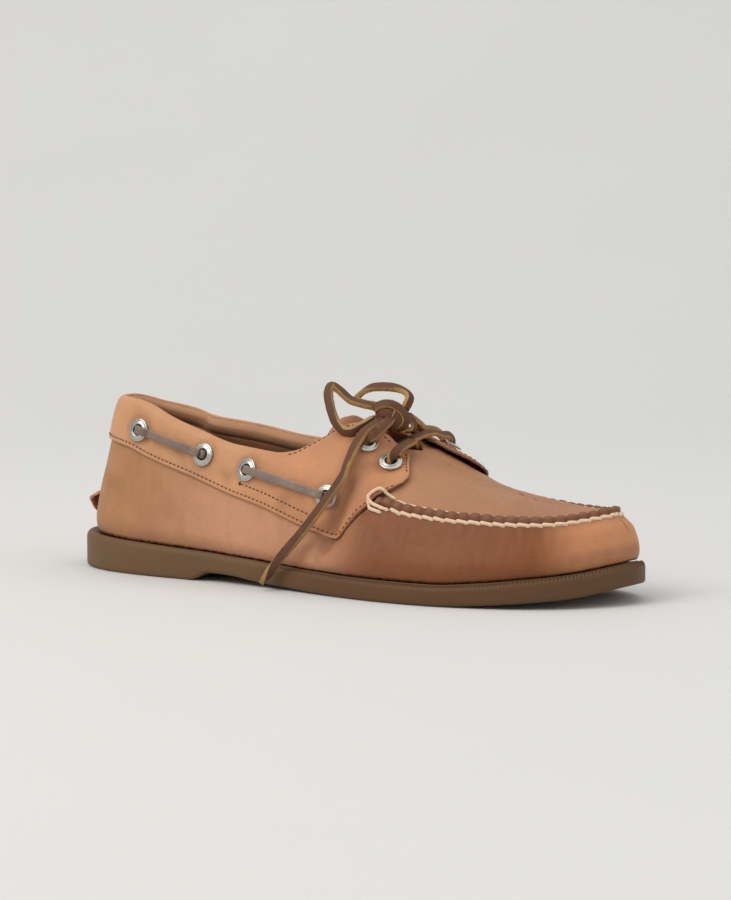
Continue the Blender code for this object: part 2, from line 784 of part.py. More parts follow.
def panel_columns(side):
    table = OUTER_TAB if side < 0 else INNER_TAB
    rear = [c for c in upper_columns() if c < GATE - WELD]
    end = column_at(side, unskewed(side, table[-1][0]))
    return rear + [GATE + (end - GATE) * k / 6 for k in range(7)]


def panel_row(side, c):
    """Rows of one column of the panel, on the same places as the upper's where they can be."""
    low, high = panel_span(side, c)
    above = [v for v, _ in upper_rows(side, c) if v >= 0]
    return [low + (high - low) * v for v in above]


def panel_lift(side, c, v):
    """The inner tab stands a little off the apron along its free edge."""
    if side < 0:
        return 0.0
    return INNER_TAB_LIFT * smooth_step(GATE - 0.06, GATE, c) * smooth_step(0.30, 0.75, v)


def panel_base(side, c, v):
    """How far the panel's underside lies off the last."""
    over_ridge = MOC_RIDGE * ridge_fade(side, c) * (1 - smooth_step(0.0, 2 * MOC_RIDGE_WIDTH / high_length(side, c), v))
    loose = TAB_SLACK * smooth_step(GATE - 2 * GATE_BLEND, GATE, c)
    return CLEARANCE + loose + over_ridge + panel_lift(side, c, v)


def panel_top(side, c, v):
    return panel_base(side, c, v) + PANEL_WALL


def make_collar_panel():
    item = new_mesh("collar_panel", (0.52, 0.28, 0.15), 0.55)
    bm = bmesh.new()
    for side in (-1, 1):
        columns = panel_columns(side)
        rows = [panel_row(side, c) for c in columns]
        outer = [[offset(side, c, v, panel_top(side, c, v)) for v in row] for c, row in zip(columns, rows)]
        inner = [[offset(side, c, v, panel_base(side, c, v)) for v in row] for c, row in zip(columns, rows)]
        add_sheet(bm, outer)
        add_sheet(bm, inner)
        for k in (0, -1):
            add_sheet(bm, [[line[k] for line in outer], [line[k] for line in inner]])
        add_sheet(bm, [outer[-1], inner[-1]])
    fill(item, bm)
    return item


def eyelet_frame(side, row):
    """Centre and axis of an eyelet, its flange seated on the panel's highest place under it."""
    kind = "outer" if side < 0 else "inner"
    along = row[EYELET_COLUMNS.index(kind + "_along")]
    v = row[EYELET_COLUMNS.index(kind + "_up")]
    c = column_at(side, along)
    axis = sum(normal_at(side, c + step, v + rise) for step, rise in EYELET_FEEL)
    axis /= np.linalg.norm(axis)
    across = np.cross(axis, (0.0, 0.0, 1.0))
    across /= np.linalg.norm(across)
    centre = form(side, c, v)
    seat = max(panel_height(centre, axis, across, reach, k) for reach in (0.5, 1.0) for k in range(16))
    return centre, axis, seat


def panel_height(centre, axis, across, reach, k):
    """Height of the panel over the last under one point of an eyelet's flange."""
    turn = math.tau * k / 16
    out = across * math.cos(turn) + np.cross(axis, across) * math.sin(turn)
    start = centre + out * EYELET_RADIUS * reach + axis * HOLE_DEPTH
    hit = PANEL_TREE.ray_cast(Vector(start), Vector(-axis), 2 * HOLE_DEPTH)[0]
    return float(np.dot(np.array(hit) - centre, axis)) if hit else 0.0


@lru_cache(maxsize=None)
def eyelet_list():
    found = []
    for side in (-1, 1):
        for row in EYELETS:
            name = ("outer_" if side < 0 else "inner_") + row[0]
            centre, axis, seat = eyelet_frame(side, row)
            found.append((name, centre, axis, seat))
    return found


def cut_holes(item):
    """Holes for the eyelets' barrels, through one wall."""
    bm = bmesh.new()
    for _, centre, axis, _ in eyelet_list():
        turn = Vector((0, 0, 1)).rotation_difference(Vector(axis)).to_matrix().to_4x4()
        place = Matrix.Translation(Vector(centre)) @ turn
        bmesh.ops.create_cone(
            bm, cap_ends=True, segments=EYELET_SIDES, radius1=EYELET_BARREL + CLEARANCE, radius2=EYELET_BARREL + CLEARANCE,
            depth=HOLE_DEPTH, matrix=place,
        )
    cutter = bpy.data.objects.new(item.name + "_holes", bpy.data.meshes.new(item.name + "_holes"))
    bm.to_mesh(cutter.data)
    bm.free()
    CUTTERS.objects.link(cutter)
    cutter.hide_render = True
    cutter.display_type = "WIRE"
    modifier = item.modifiers.new("holes", "BOOLEAN")
    modifier.object = cutter
    modifier.operation = "DIFFERENCE"


def make_eyelets():
    """Turned rings: a barrel through the wall under a domed flange."""
    depth = 2 * WALL + PANEL_WALL
    reach = EYELET_RADIUS
    bore = EYELET_BORE
    barrel = EYELET_BARREL
    profile = (
        (bore, -depth),
        (barrel, -depth),
        (barrel, 0.0),
        (reach, 0.0),
        (0.93 * reach, 0.6 * EYELET_RIM),
        ((reach + bore) / 2, EYELET_RIM),
        (bore + 0.12 * (reach - bore), 0.6 * EYELET_RIM),
    )
    for name, centre, axis, seat in eyelet_list():
        item = new_mesh("eyelet_" + name, (0.72, 0.71, 0.68), 0.3, 1.0)
        bm = bmesh.new()
        turn = Vector((0, 0, 1)).rotation_difference(Vector(axis)).to_matrix().to_4x4()
        place = Matrix.Translation(Vector(centre + axis * (seat + CLEARANCE))) @ turn
        around_ring = []
        for k in range(EYELET_SIDES + 1):
            angle = math.tau * (k % EYELET_SIDES) / EYELET_SIDES
            around_ring.append([place @ Vector((r * math.cos(angle), r * math.sin(angle), z)) for r, z in profile])
        add_sheet(bm, [line + [line[0]] for line in around_ring])
        fill(item, bm)


def make_outsole():
    """One moulded unit: flat heel and forefoot, breast, arch, toe spring and a lip round its top."""
    item = new_mesh("outsole", (0.21, 0.14, 0.085), 0.7)
    bm = bmesh.new()
    steps = [k / SOLE_STEPS for k in range(SOLE_STEPS + 1)]
    shares = [0.3 * (1 - math.cos(math.pi * k)) + 0.4 * k for k in steps]
    sheets = {}
    for side in (-1, 1):
        lines = []
        for q in shares:
            along = PLAN_CURVE.along(side, q)
            edge = PLAN_CURVE.edge(side, q)
            inward = PLAN_CURVE.inward(side, q)
            low = sole_bottom(along)
            high = sole_top(along)
            ring = (
                (SOLE_LIP, low),
                (0.4 * SOLE_LIP, low + 0.5 * SOLE_LIP),
                (0.0, low + SOLE_LIP),
                (0.0, high - 1.6 * SOLE_LIP),
                (0.4 * SOLE_LIP, high - 0.6 * SOLE_LIP),
                (SOLE_LIP, high),
                (2 * WELT_MARGIN, high),
            )
            lines.append([np.array([*(edge + inward * inset), z]) for inset, z in ring])
        sheets[side] = lines
        add_sheet(bm, lines)
    add_faces_across(bm, sheets)
    return fill(item, bm)


def add_faces_across(bm, sheets):
    """The faces between the first and the last rows of both sides."""
    count = 4
    for row in (0, -1):
        grid = []
        for left, right in zip(sheets[-1], sheets[1]):
            a, b = left[row], right[row]
            grid.append([a + (b - a) * k / count for k in range(count + 1)])
        add_sheet(bm, grid)


def make_insole():
    """A sock inside the upper's foot, on the outsole."""
    item = new_mesh("insole", (0.30, 0.19, 0.11), 0.8)
    bm = bmesh.new()
    sheets = {}
    gap = WALL + 2 * CLEARANCE
    for side in (-1, 1):
        lines = []
        for k in range(31):
            c = k / 30
            q = edge_share(side, c)
            place = PLAN_CURVE.along(side, q)
            inward = PLAN_CURVE.inward(side, q)
            margin = section("welt", skewed(side, place)) * WELT_MARGIN
            edge = PLAN_CURVE.edge(side, q) + inward * (margin + gap + INSOLE_GAP)
            low = sole_top(place) + 2 * CLEARANCE
            point = [np.array([edge[0], edge[1], low]), np.array([edge[0], edge[1], low + INSOLE_THICKNESS])]
            lines.append(point)
        sheets[side] = lines
        add_sheet(bm, lines)
    add_faces_across(bm, sheets)
    return fill(item, bm)


@lru_cache(maxsize=None)
def tongue_falls(share):
    """How far the tongue falls on each side to pass under the throat's edges, and its own row."""
    xs = column(TONGUE, TONGUE_COLUMNS, "along")
    along = xs[0] + (xs[-1] - xs[0]) * share
    side, up, half, fall = (
        smooth_value(xs, column(TONGUE, TONGUE_COLUMNS, name), along) for name in TONGUE_COLUMNS[1:]
    )
    middle = np.array([(along - 0.5) * SOLE_LENGTH, side * BALL_WIDTH, sole_top(along) + up * INSTEP_RISE])
    half *= BALL_WIDTH
    falls = {}
    for way in (-1, 1):
        falls[way] = fall * half
        for k in range(6, 31):
            low = middle + np.array([0.0, way * half * k / 30, -0.45 * INSTEP_RISE])
            hit = UPPER_TREE.ray_cast(Vector(low), Vector((0, 0, 1)), INSTEP_RISE)[0]
            if hit:
                falls[way] = max(falls[way], (middle[2] - hit[2] + TONGUE_GAP) / (k / 30) ** TONGUE_BOW)
    return middle, half, falls


def tongue_line(share, distance):
    """Points across the tongue at a share of its length, from its free top to under the apron."""
    middle, half, falls = tongue_falls(share)
    corner = TONGUE_CORNER * (1 - smooth_step(0.0, 0.16, share))
    line = []
    for k in range(11):
        t = k / 5 - 1
        drop = falls[-1 if t < 0 else 1] * abs(t) ** TONGUE_BOW
        line.append(middle + np.array([corner * t ** 4, half * t, -drop - distance]))
    return line


def make_tongue():
    item = new_mesh("tongue", (0.42, 0.21, 0.11), 0.6)
    bm = bmesh.new()
    count = 13
    outer = [tongue_line(k / count, 0.0) for k in range(count + 1)]
    inner = [tongue_line(k / count, TONGUE_THICKNESS) for k in range(count + 1)]
    add_shell(bm, outer, inner)
    return fill(item, bm)


def make_heel_tab():
    """The end of the back strip: it lies on the heel and curls out at its lower edge."""
    item = new_mesh("heel_tab", (0.50, 0.27, 0.15), 0.55)
    bm = bmesh.new()
    half = 0.5 * TAB_WIDTH
    widths = []
    for side in (-1, 1):
        c = 0.0
        while abs(form(side, c, TAB_UP[0])[1]) < half:
            c += 0.0005
        widths.append(c)
    columns = [(-1, widths[0] * k / 3) for k in (3, 2, 1)] + [(1, widths[1] * k / 3) for k in range(4)]
    outer, inner = [], []
    for side, c in columns:
        outer.append([offset(side, c, v, CLEARANCE + TAB_WALL + out * TAB_REACH) for v, out in zip(TAB_UP, TAB_OUT)])
        inner.append([offset(side, c, v, CLEARANCE + out * TAB_REACH) for v, out in zip(TAB_UP, TAB_OUT)])
    add_shell(bm, outer, inner)
    return fill(item, bm)


def smooth_path(points, step):
    """Points about a step apart on a smooth curve through the given ones."""
    points = np.asarray(points, float)
    gaps = np.linalg.norm(np.diff(points, axis=0), axis=1)
    count = len(points)
    tangents = []
    for i in range(count):
        low, high = max(i - 1, 0), min(i + 1, count - 1)
        tangents.append((points[high] - points[low]) / gaps[low:high].sum())
    fine = []
    for i, gap in enumerate(gaps):
        for k in range(12):
            fine.append(hermite(points[i], points[i + 1], tangents[i] * gap, tangents[i + 1] * gap, k / 12))
    fine = np.array(fine + [points[-1]])
    reach = np.concatenate([[0.0], np.cumsum(np.linalg.norm(np.diff(fine, axis=0), axis=1))])
    stops = np.linspace(0.0, reach[-1], max(int(round(reach[-1] / step)), 3) + 1)
    return np.array([[np.interp(stop, reach, fine[:, axis]) for axis in range(3)] for stop in stops])


def route(table):
    """Metres of a lace's route given in shares."""
    rows = np.array(table, float)
    height = crest(0.0)[2]
    return np.stack([(rows[:, 0] - 0.5) * SOLE_LENGTH, rows[:, 1] * BALL_WIDTH, rows[:, 2] * height], axis=1)


def tube_mesh(points, radius, sides=LACE_SIDES):
    """A closed tube along points, its frame carried on without twist."""
    bm = bmesh.new()
    ways = np.gradient(points, axis=0)
    ways /= np.linalg.norm(ways, axis=1)[:, None]
    up = np.cross(ways[0], (0.31, 0.17, 0.93))
    rings = []
    for point, way in zip(points, ways):
        up = up - way * np.dot(up, way)
        up /= np.linalg.norm(up)
        over = np.cross(way, up)
        turns = [math.tau * k / sides for k in range(sides)]
        rings.append([bm.verts.new(point + radius * (up * math.cos(t) + over * math.sin(t))) for t in turns])
    for first, second in zip(rings, rings[1:]):
        for k in range(sides):
            bm.faces.new((first[k], first[(k + 1) % sides], second[(k + 1) % sides], second[k]))
    bm.faces.new(rings[0])
    bm.faces.new(rings[-1])
    return bm


def lace_exit(name, toward):
    """A lace's points from inside an eyelet's barrel, over its flange and on towards a place."""
    centre, axis, seat = EYELET_PLACES[name]
    way = np.asarray(toward) - centre
    way -= axis * np.dot(way, axis)
    way /= np.linalg.norm(way)
    rise = EYELET_RIM + 0.5 * LACE_DIAMETER + 2 * CLEARANCE
    return [centre + axis * (seat + rise * up) + way * LACE_DIAMETER * out for up, out in LACE_BEND]


def lace_material(item):
    return new_mesh(item, (0.24, 0.13, 0.07), 0.65)


def make_side_bar(side, kind, first, last):
    """A lace out of one eyelet, along the collar and into the next."""
    word = "outer_" if side < 0 else "inner_"
    radius = 0.5 * LACE_DIAMETER
    rise = EYELET_RIM + radius + 2 * CLEARANCE
    start, axis_a, seat_a = EYELET_PLACES[word + first]
    end, axis_b, seat_b = EYELET_PLACES[word + last]
    axis = axis_a + axis_b
    axis /= np.linalg.norm(axis)
    points = lace_exit(word + first, end)
    for k in range(1, 6):
        share = k / 6
        place = start + (end - start) * share
        hit = PANEL_TREE.ray_cast(Vector(place + axis * HOLE_DEPTH), Vector(-axis), 2 * HOLE_DEPTH)[0]
        over = float(np.dot(np.array(hit) - place, axis)) + radius + 2 * CLEARANCE if hit else 0.0
        level = (seat_a * (1 - share) + seat_b * share) + rise
        points.append(place + axis * max(over, level))
    points += reversed(lace_exit(word + last, start))
    item = lace_material("lace_bar_" + word + kind)
    fill(item, tube_mesh(np.array(points), radius))


def join_tube(item, bm):
    """Join a helper mesh to a part."""
    helper = bpy.data.objects.new(item.name + "_part", bpy.data.meshes.new(item.name + "_part"))
    bmesh.ops.recalc_face_normals(bm, faces=bm.faces)
    bm.to_mesh(helper.data)
    bm.free()
    CUTTERS.objects.link(helper)
    helper.hide_render = True
    helper.display_type = "WIRE"
    modifier = item.modifiers.new("join", "BOOLEAN")
    modifier.object = helper
    modifier.operation = "UNION"


def make_crossing():
    """Two strands from the front eyelets, joined where one lies on the other over the throat."""
    radius = 0.5 * LACE_DIAMETER
    item = lace_material("lace_crossing")
    under, over = route(UNDER_STRAND), route(OVER_STRAND)
    under = np.vstack([lace_exit("outer_throat_front", under[0]), under])
    over = np.vstack([lace_exit("inner_throat_front", over[0]), over])
    fill(item, tube_mesh(under, radius))
    join_tube(item, tube_mesh(over, radius))


def ring_mesh(centre, way, reach, radius):
    """A closed ring of lace round the knot."""
    bm = bmesh.new()
    across = np.cross(way, (0.0, 0.0, 1.0))
    across /= np.linalg.norm(across)
    over = np.cross(across, way)
    rings = []
    for k in range(12):
        turn = math.tau * k / 12
        out = across * math.cos(turn) + over * math.sin(turn)
        ring = []
        for j in range(LACE_SIDES):
            tilt = math.tau * j / LACE_SIDES
            ring.append(bm.verts.new(centre + out * (reach + radius * math.cos(tilt)) + way * radius * math.sin(tilt)))
        rings.append(ring)
    for first, second in zip(rings, rings[1:] + rings[:1]):
        for k in range(LACE_SIDES):
            following = (k + 1) % LACE_SIDES
            bm.faces.new((first[k], first[following], second[following], second[k]))
    return bm


def make_knot():
    """The strand between the top eyelets, wrapped twice over the throat."""
    radius = 0.5 * LACE_DIAMETER
    item = lace_material("lace_knot")
    middle = route(KNOT_STRAND)
    first, last = lace_exit("outer_top", middle[0]), lace_exit("inner_top", middle[-1])
    fill(item, tube_mesh(np.vstack([first, middle, last[::-1]]), radius))
    centre = middle[len(middle) // 2]
    core = bmesh.new()
    size = Matrix.Diagonal((*(share * LACE_DIAMETER for share in KNOT_CORE), 1.0))
    bmesh.ops.create_icosphere(core, subdivisions=2, radius=1.0, matrix=Matrix.Translation(Vector(centre)) @ size)
    join_tube(item, core)
    for way in KNOT_WRAPS:
        way = np.array(way) / np.linalg.norm(way)
        join_tube(item, ring_mesh(centre, way, KNOT_REACH * LACE_DIAMETER, radius))


def make_cord(name, table):
    """A free piece of lace as a swept curve."""
    curve = bpy.data.curves.new(name, "CURVE")
    curve.dimensions = "3D"
    curve.bevel_depth = 0.5 * LACE_DIAMETER
    curve.bevel_resolution = 2
    curve.use_fill_caps = True
    points = smooth_path(route(table), 1.7 * LACE_DIAMETER)
    spline = curve.splines.new("POLY")
    spline.points.add(len(points) - 1)
    for slot, point in zip(spline.points, points):
        slot.co = (*point, 1.0)
    item = bpy.data.objects.new(name, curve)
    PARTS.objects.link(item)
    curve.materials.append(new_material(name, (0.24, 0.13, 0.07), 0.65, 0.0))


clear_scene()
PARTS = bpy.data.collections.new("boat_shoe")
CUTTERS = bpy.data.collections.new("cutters")
for group in (PARTS, CUTTERS):
    bpy.context.scene.collection.children.link(group)
make_outsole()
make_insole()
UPPER = make_upper()
UPPER_TREE = BVHTree.FromObject(UPPER, bpy.context.evaluated_depsgraph_get())
PANEL = make_collar_panel()
PANEL_TREE = BVHTree.FromObject(PANEL, bpy.context.evaluated_depsgraph_get())
make_tongue()
make_heel_tab()
make_eyelets()
EYELET_PLACES = {name: (centre, axis, seat) for name, centre, axis, seat in eyelet_list()}
cut_holes(UPPER)
cut_holes(PANEL)
for lace_side in (-1, 1):
    make_side_bar(lace_side, "rear", "rear", "mid_rear")
    make_side_bar(lace_side, "front", "mid_front", "side_front")
make_crossing()
make_knot()
make_cord("lace_loop_rear", REAR_LOOP)
make_cord("lace_loop_front", FRONT_LOOP)
make_cord("lace_end_outer", OUTER_END)
make_cord("lace_end_inner", INNER_END)
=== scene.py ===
import math
from functools import lru_cache

import bmesh
import bpy
import numpy as np
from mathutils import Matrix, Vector, noise
from mathutils.bvhtree import BVHTree


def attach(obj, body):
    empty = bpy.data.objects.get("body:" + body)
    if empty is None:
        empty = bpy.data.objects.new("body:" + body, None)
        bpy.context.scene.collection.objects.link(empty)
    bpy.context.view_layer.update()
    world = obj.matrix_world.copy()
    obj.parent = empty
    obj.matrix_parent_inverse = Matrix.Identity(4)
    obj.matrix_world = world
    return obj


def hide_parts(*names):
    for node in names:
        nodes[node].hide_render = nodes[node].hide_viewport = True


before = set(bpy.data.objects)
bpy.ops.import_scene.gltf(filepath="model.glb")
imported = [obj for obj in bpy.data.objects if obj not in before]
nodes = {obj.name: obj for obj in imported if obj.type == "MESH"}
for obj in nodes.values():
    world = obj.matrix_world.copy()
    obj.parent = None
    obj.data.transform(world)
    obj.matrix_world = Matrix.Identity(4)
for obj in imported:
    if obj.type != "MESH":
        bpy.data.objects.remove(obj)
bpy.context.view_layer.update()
scene = bpy.context.scene
print("frame loaded")

# sizes of the shoe, in metres
soleLength = 0.292
ballWidth = 0.1035
heelThickness = 0.0160
ballThickness = 0.0094
heelBreast = 0.0042
toeSpring = 0.0083
soleLip = 0.0016
collarRise = 0.0640
instepRise = 0.0640
seamRise = 0.0280
wall = 0.0020
collarPad = 0.0060
collarPadDepth = 0.016
weltMargin = 0.0038
mocRidge = 0.0024
mocRidgeWidth = 0.0050
panelWall = 0.0015
tongueThickness = 0.0022
clearance = 0.0003
heelFocus = 0.0700
throatSkew = 0.0090
laceLine = 0.0030
eyeletRadius = 0.0054
eyeletBore = 0.0026
eyeletRim = 0.0011
laceDiameter = 0.0034
throatEnd = 0.595
seamEnd = 0.630
bellyUp = 0.34
innerBulge = 1.2
innerTabLift = 0.0015
tabSlack = 0.0007
gate = 0.55
gateBlend = 0.016

# camera of the photo
camera = bpy.data.objects.new("camera", bpy.data.cameras.new("camera"))
scene.collection.objects.link(camera)
camera.location = (0.767889, -1.168406, 0.191519)
lookAt = Vector((0.00871, 0.00062, 0.06102))
camera.rotation_euler = (lookAt - camera.location).to_track_quat("-Z", "Y").to_euler()
camera.data.lens = 122.5
camera.data.sensor_width = 36
scene.camera = camera


def column(table, k):
    return np.array([row[k] for row in table], float)


def smoothValue(table, k, x):
    xs, ys = column(table, 0), column(table, k)
    x = min(max(x, xs[0]), xs[-1])
    slopes = np.diff(ys) / np.diff(xs)
    i = int(min(max(np.searchsorted(xs, x) - 1, 0), len(xs) - 2))

    def tangent(j):
        if j in (0, len(xs) - 1):
            return slopes[0] if j == 0 else slopes[-1]
        if slopes[j - 1] * slopes[j] <= 0:
            return 0.0
        return 2.0 * slopes[j - 1] * slopes[j] / (slopes[j - 1] + slopes[j])

    step = xs[i + 1] - xs[i]
    u = (x - xs[i]) / step
    return (ys[i] * (1 + 2 * u) * (1 - u) ** 2 + tangent(i) * step * u * (1 - u) ** 2
            + ys[i + 1] * u * u * (3 - 2 * u) - tangent(i + 1) * step * u * u * (1 - u))


def smoothStep(low, high, x):
    u = np.clip((np.asarray(x, float) - low) / (high - low), 0.0, 1.0)
    return u * u * (3 - 2 * u)


def hermite(a, b, ta, tb, u):
    u = np.asarray(u, float)[..., None]
    return (a * (1 + 2 * u) * (1 - u) ** 2 + ta * u * (1 - u) ** 2
            + b * u * u * (3 - 2 * u) - tb * u * u * (1 - u))


def pathLength(points):
    return float(np.linalg.norm(np.diff(points, axis=0), axis=1).sum())


def runAlong(points):
    # distance along a path up to each of its points
    return np.concatenate([[0.0], np.cumsum(np.linalg.norm(np.diff(points, axis=0), axis=1))])


# plan of the sole: along, outer reach, inner reach
planTable = (
    (0.000, 0.000, 0.000), (0.030, 0.193, 0.193), (0.085, 0.304, 0.309), (0.160, 0.357, 0.347),
    (0.260, 0.372, 0.333), (0.360, 0.384, 0.313), (0.460, 0.415, 0.325), (0.560, 0.464, 0.391),
    (0.660, 0.500, 0.469), (0.760, 0.488, 0.489), (0.850, 0.420, 0.450), (0.925, 0.304, 0.372),
    (0.975, 0.135, 0.255), (1.000, -0.058, 0.058),
)
# heights of the sole: along, top, arch, spring
soleTable = (
    (0.00, 1.08, 0.00, 0.00), (0.05, 1.06, 0.00, 0.00), (0.15, 0.93, 0.00, 0.00), (0.28, 0.69, 0.00, 0.00),
    (0.32, 0.61, 1.00, 0.00), (0.36, 0.50, 0.92, 0.00), (0.42, 0.35, 0.50, 0.00), (0.49, 0.16, 0.26, 0.00),
    (0.56, 0.07, 0.06, 0.00), (0.60, 0.02, 0.00, 0.00), (0.75, 0.00, 0.00, 0.00), (0.83, 0.05, 0.00, 0.15),
    (0.89, 0.13, 0.00, 0.32), (0.95, 0.16, 0.00, 0.55), (1.00, 0.10, 0.00, 1.00),
)
sectionNames = ("along", "welt", "seamIn", "seamUp", "belly", "edgeIn", "outerUp", "innerUp",
                "crownAt", "crownOut")
sectionTable = (
    (0.000, 1.55, 0.135, 1.580, 0.004, 0.215, 0.990, 0.990, 0.86, 0.10),
    (0.040, 1.40, 0.126, 1.570, 0.006, 0.200, 0.995, 0.928, 0.86, 0.10),
    (0.100, 1.15, 0.100, 1.540, 0.008, 0.172, 0.995, 0.880, 0.86, 0.10),
    (0.170, 1.00, 0.080, 1.410, 0.010, 0.152, 0.950, 0.848, 0.86, 0.10),
    (0.260, 1.00, 0.064, 1.215, 0.012, 0.136, 0.845, 0.827, 0.84, 0.10),
    (0.350, 1.00, 0.052, 0.990, 0.014, 0.128, 0.760, 0.785, 0.82, 0.10),
    (0.425, 1.00, 0.042, 0.860, 0.014, 0.122, 0.750, 0.775, 0.78, 0.10),
    (0.455, 1.00, 0.040, 0.790, 0.014, 0.140, 0.775, 0.795, 0.66, 0.12),
    (0.480, 1.00, 0.044, 0.720, 0.014, 0.200, 0.855, 0.860, 0.56, 0.15),
    (0.505, 1.00, 0.050, 0.650, 0.013, 0.286, 0.965, 0.930, 0.50, 0.17),
    (0.535, 1.00, 0.058, 0.575, 0.012, 0.315, 0.985, 0.945, 0.48, 0.17),
    (0.565, 1.00, 0.070, 0.520, 0.010, 0.344, 0.915, 0.900, 0.48, 0.16),
    (0.585, 1.00, 0.094, 0.740, 0.009, 0.372, 0.835, 0.850, 0.49, 0.14),
    (0.600, 1.00, 0.110, 0.930, 0.008, 0.395, 0.845, 0.845, 0.50, 0.12),
    (0.630, 1.00, 0.124, 1.115, 0.006, 0.400, 0.840, 0.840, 0.50, 0.09),
    (0.680, 1.00, 0.134, 1.030, 0.004, 0.400, 0.840, 0.840, 0.50, 0.08),
    (0.740, 1.00, 0.136, 0.980, 0.004, 0.400, 0.840, 0.840, 0.50, 0.07),
    (0.800, 1.00, 0.132, 0.925, 0.006, 0.400, 0.840, 0.840, 0.50, 0.06),
    (0.860, 1.00, 0.124, 0.843, 0.009, 0.400, 0.840, 0.840, 0.50, 0.06),
    (0.920, 1.00, 0.114, 0.775, 0.012, 0.400, 0.840, 0.840, 0.50, 0.05),
    (1.000, 1.00, 0.105, 0.720, 0.014, 0.400, 0.840, 0.840, 0.50, 0.05),
)
crestTable = (
    (0.630, 0.030, 0.590), (0.650, 0.065, 0.525), (0.680, 0.100, 0.430), (0.715, 0.115, 0.350),
    (0.745, 0.120, 0.285), (0.780, 0.120, 0.230), (0.815, 0.120, 0.170), (0.850, 0.115, 0.125),
    (0.910, 0.100, 0.100),
)
# front tab of the collar panel: along, low edge, high edge
outerTab = ((0.595, 0.000, 0.830), (0.610, 0.000, 0.730), (0.625, 0.060, 0.600), (0.638, 0.170, 0.500),
            (0.648, 0.300, 0.410))
innerTab = ((0.595, 0.000, 0.840), (0.620, 0.000, 0.820), (0.640, 0.060, 0.780), (0.658, 0.240, 0.710),
            (0.672, 0.430, 0.620))


def closedSpline(points):
    points = np.asarray(points, float)
    count = len(points)
    ring = np.vstack([points, points[:1]])
    gaps = np.linalg.norm(np.diff(ring, axis=0), axis=1)
    knots = np.concatenate([[0.0], np.cumsum(gaps)])
    matrix = np.zeros((count, count))
    right = np.zeros_like(points)
    for i in range(count):
        before, after = gaps[i - 1], gaps[i]
        matrix[i, i - 1] += 1 / before
        matrix[i, i] += 2 / before + 2 / after
        matrix[i, (i + 1) % count] += 1 / after
        right[i] = 3 * ((ring[i] - ring[i - 1 if i else count - 1]) / before ** 2
                        + (ring[i + 1] - ring[i]) / after ** 2)
    tangents = np.linalg.solve(matrix, right)

    def at(s):
        s = s % knots[-1]
        k = int(min(np.searchsorted(knots, s, side="right") - 1, count - 1))
        u = (s - knots[k]) / gaps[k]
        return hermite(ring[k], ring[k + 1], tangents[k] * gaps[k], tangents[(k + 1) % count] * gaps[k], u)

    return knots, at


outerEdge = [(a * soleLength, -o * ballWidth) for a, o, i in planTable]
innerEdge = [(a * soleLength, i * ballWidth) for a, o, i in planTable]
planKnots, planAt = closedSpline(outerEdge + innerEdge[-2:0:-1])
planTotal = planKnots[-1]
planToe = planKnots[len(outerEdge) - 1]
planSides = [planAt(planTotal * k / 400)[1] for k in range(400)]
planMiddle = (max(planSides) + min(planSides)) / 2


def rawEdge(side, q):
    return planAt(planToe * q) if side < 0 else planAt(planTotal - (planTotal - planToe) * q)


@lru_cache(maxsize=None)
def edgeAt(side, q):
    x, y = rawEdge(side, q)
    return np.array([x - soleLength / 2, y - planMiddle])


shareRows = {side: np.maximum.accumulate([rawEdge(side, k / 200)[0] / soleLength for k in range(201)])
             for side in (-1, 1)}


def alongAt(side, q):
    return float(np.interp(q, np.linspace(0, 1, 201), shareRows[side]))


def shareAt(side, along):
    return float(np.interp(along, shareRows[side], np.linspace(0, 1, 201)))


@lru_cache(maxsize=None)
def inwardAt(side, q):
    step = 0.004
    ahead = edgeAt(side, q + step) if q + step <= 1 else edgeAt(-side, 2 - q - step)
    behind = edgeAt(side, q - step) if q >= step else edgeAt(-side, step - q)
    way = ahead - behind
    way /= np.linalg.norm(way)
    return np.array([way[1], -way[0]]) * side


@lru_cache(maxsize=None)
def leanAt(side, q):
    edge = edgeAt(side, q)
    focus = np.array([heelFocus - soleLength / 2, 0.0]) - edge
    focus /= np.linalg.norm(focus)
    place = edge[0] / soleLength + 0.5
    weight = smoothStep(0.10, 0.23, place)
    way = focus * (1 - weight) + inwardAt(side, q) * weight
    if side > 0:
        straight = smoothStep(0.40, 0.52, place) * (1 - smoothStep(0.68, 0.80, place))
        way = way * (1 - straight) + np.array([0.0, -1.0]) * straight
    return way / np.linalg.norm(way)


def soleTop(along):
    return (ballThickness + smoothValue(soleTable, 1, along) * (heelThickness - ballThickness)
            + smoothValue(soleTable, 3, along) * toeSpring)


def soleBottom(along):
    return smoothValue(soleTable, 2, along) * heelBreast + smoothValue(soleTable, 3, along) * toeSpring


def section(name, along):
    return smoothValue(sectionTable, sectionNames.index(name), along)


def skewed(side, along):
    if side < 0:
        return along
    shift = smoothStep(0.10, 0.45, along) * (1 - smoothStep(0.68, 0.90, along))
    return along - throatSkew / soleLength * shift


def crestAt(share):
    along = crestTable[0][0] + (crestTable[-1][0] - crestTable[0][0]) * share
    seam = section("seamUp", max(along, seamEnd)) * seamRise
    height = soleTop(along) + seam + smoothValue(crestTable, 2, along) * (instepRise - seamRise)
    return np.array([(along - 0.5) * soleLength, smoothValue(crestTable, 1, along) * ballWidth, height])


gateShares = {-1: shareAt(-1, throatEnd), 1: shareAt(1, throatEnd + throatSkew / soleLength)}


def edgeShare(side, c):
    start = gateShares[side]
    return start * c / gate if c <= gate else start + (1 - start) * (c - gate) / (1 - gate)


def columnAt(side, along):
    q, start = shareAt(side, along), gateShares[side]
    return gate * q / start if q <= start else gate + (1 - gate) * (q - start) / (1 - start)


def unskewed(side, along):
    guess = along
    for _ in range(8):
        guess += along - skewed(side, guess)
    return guess


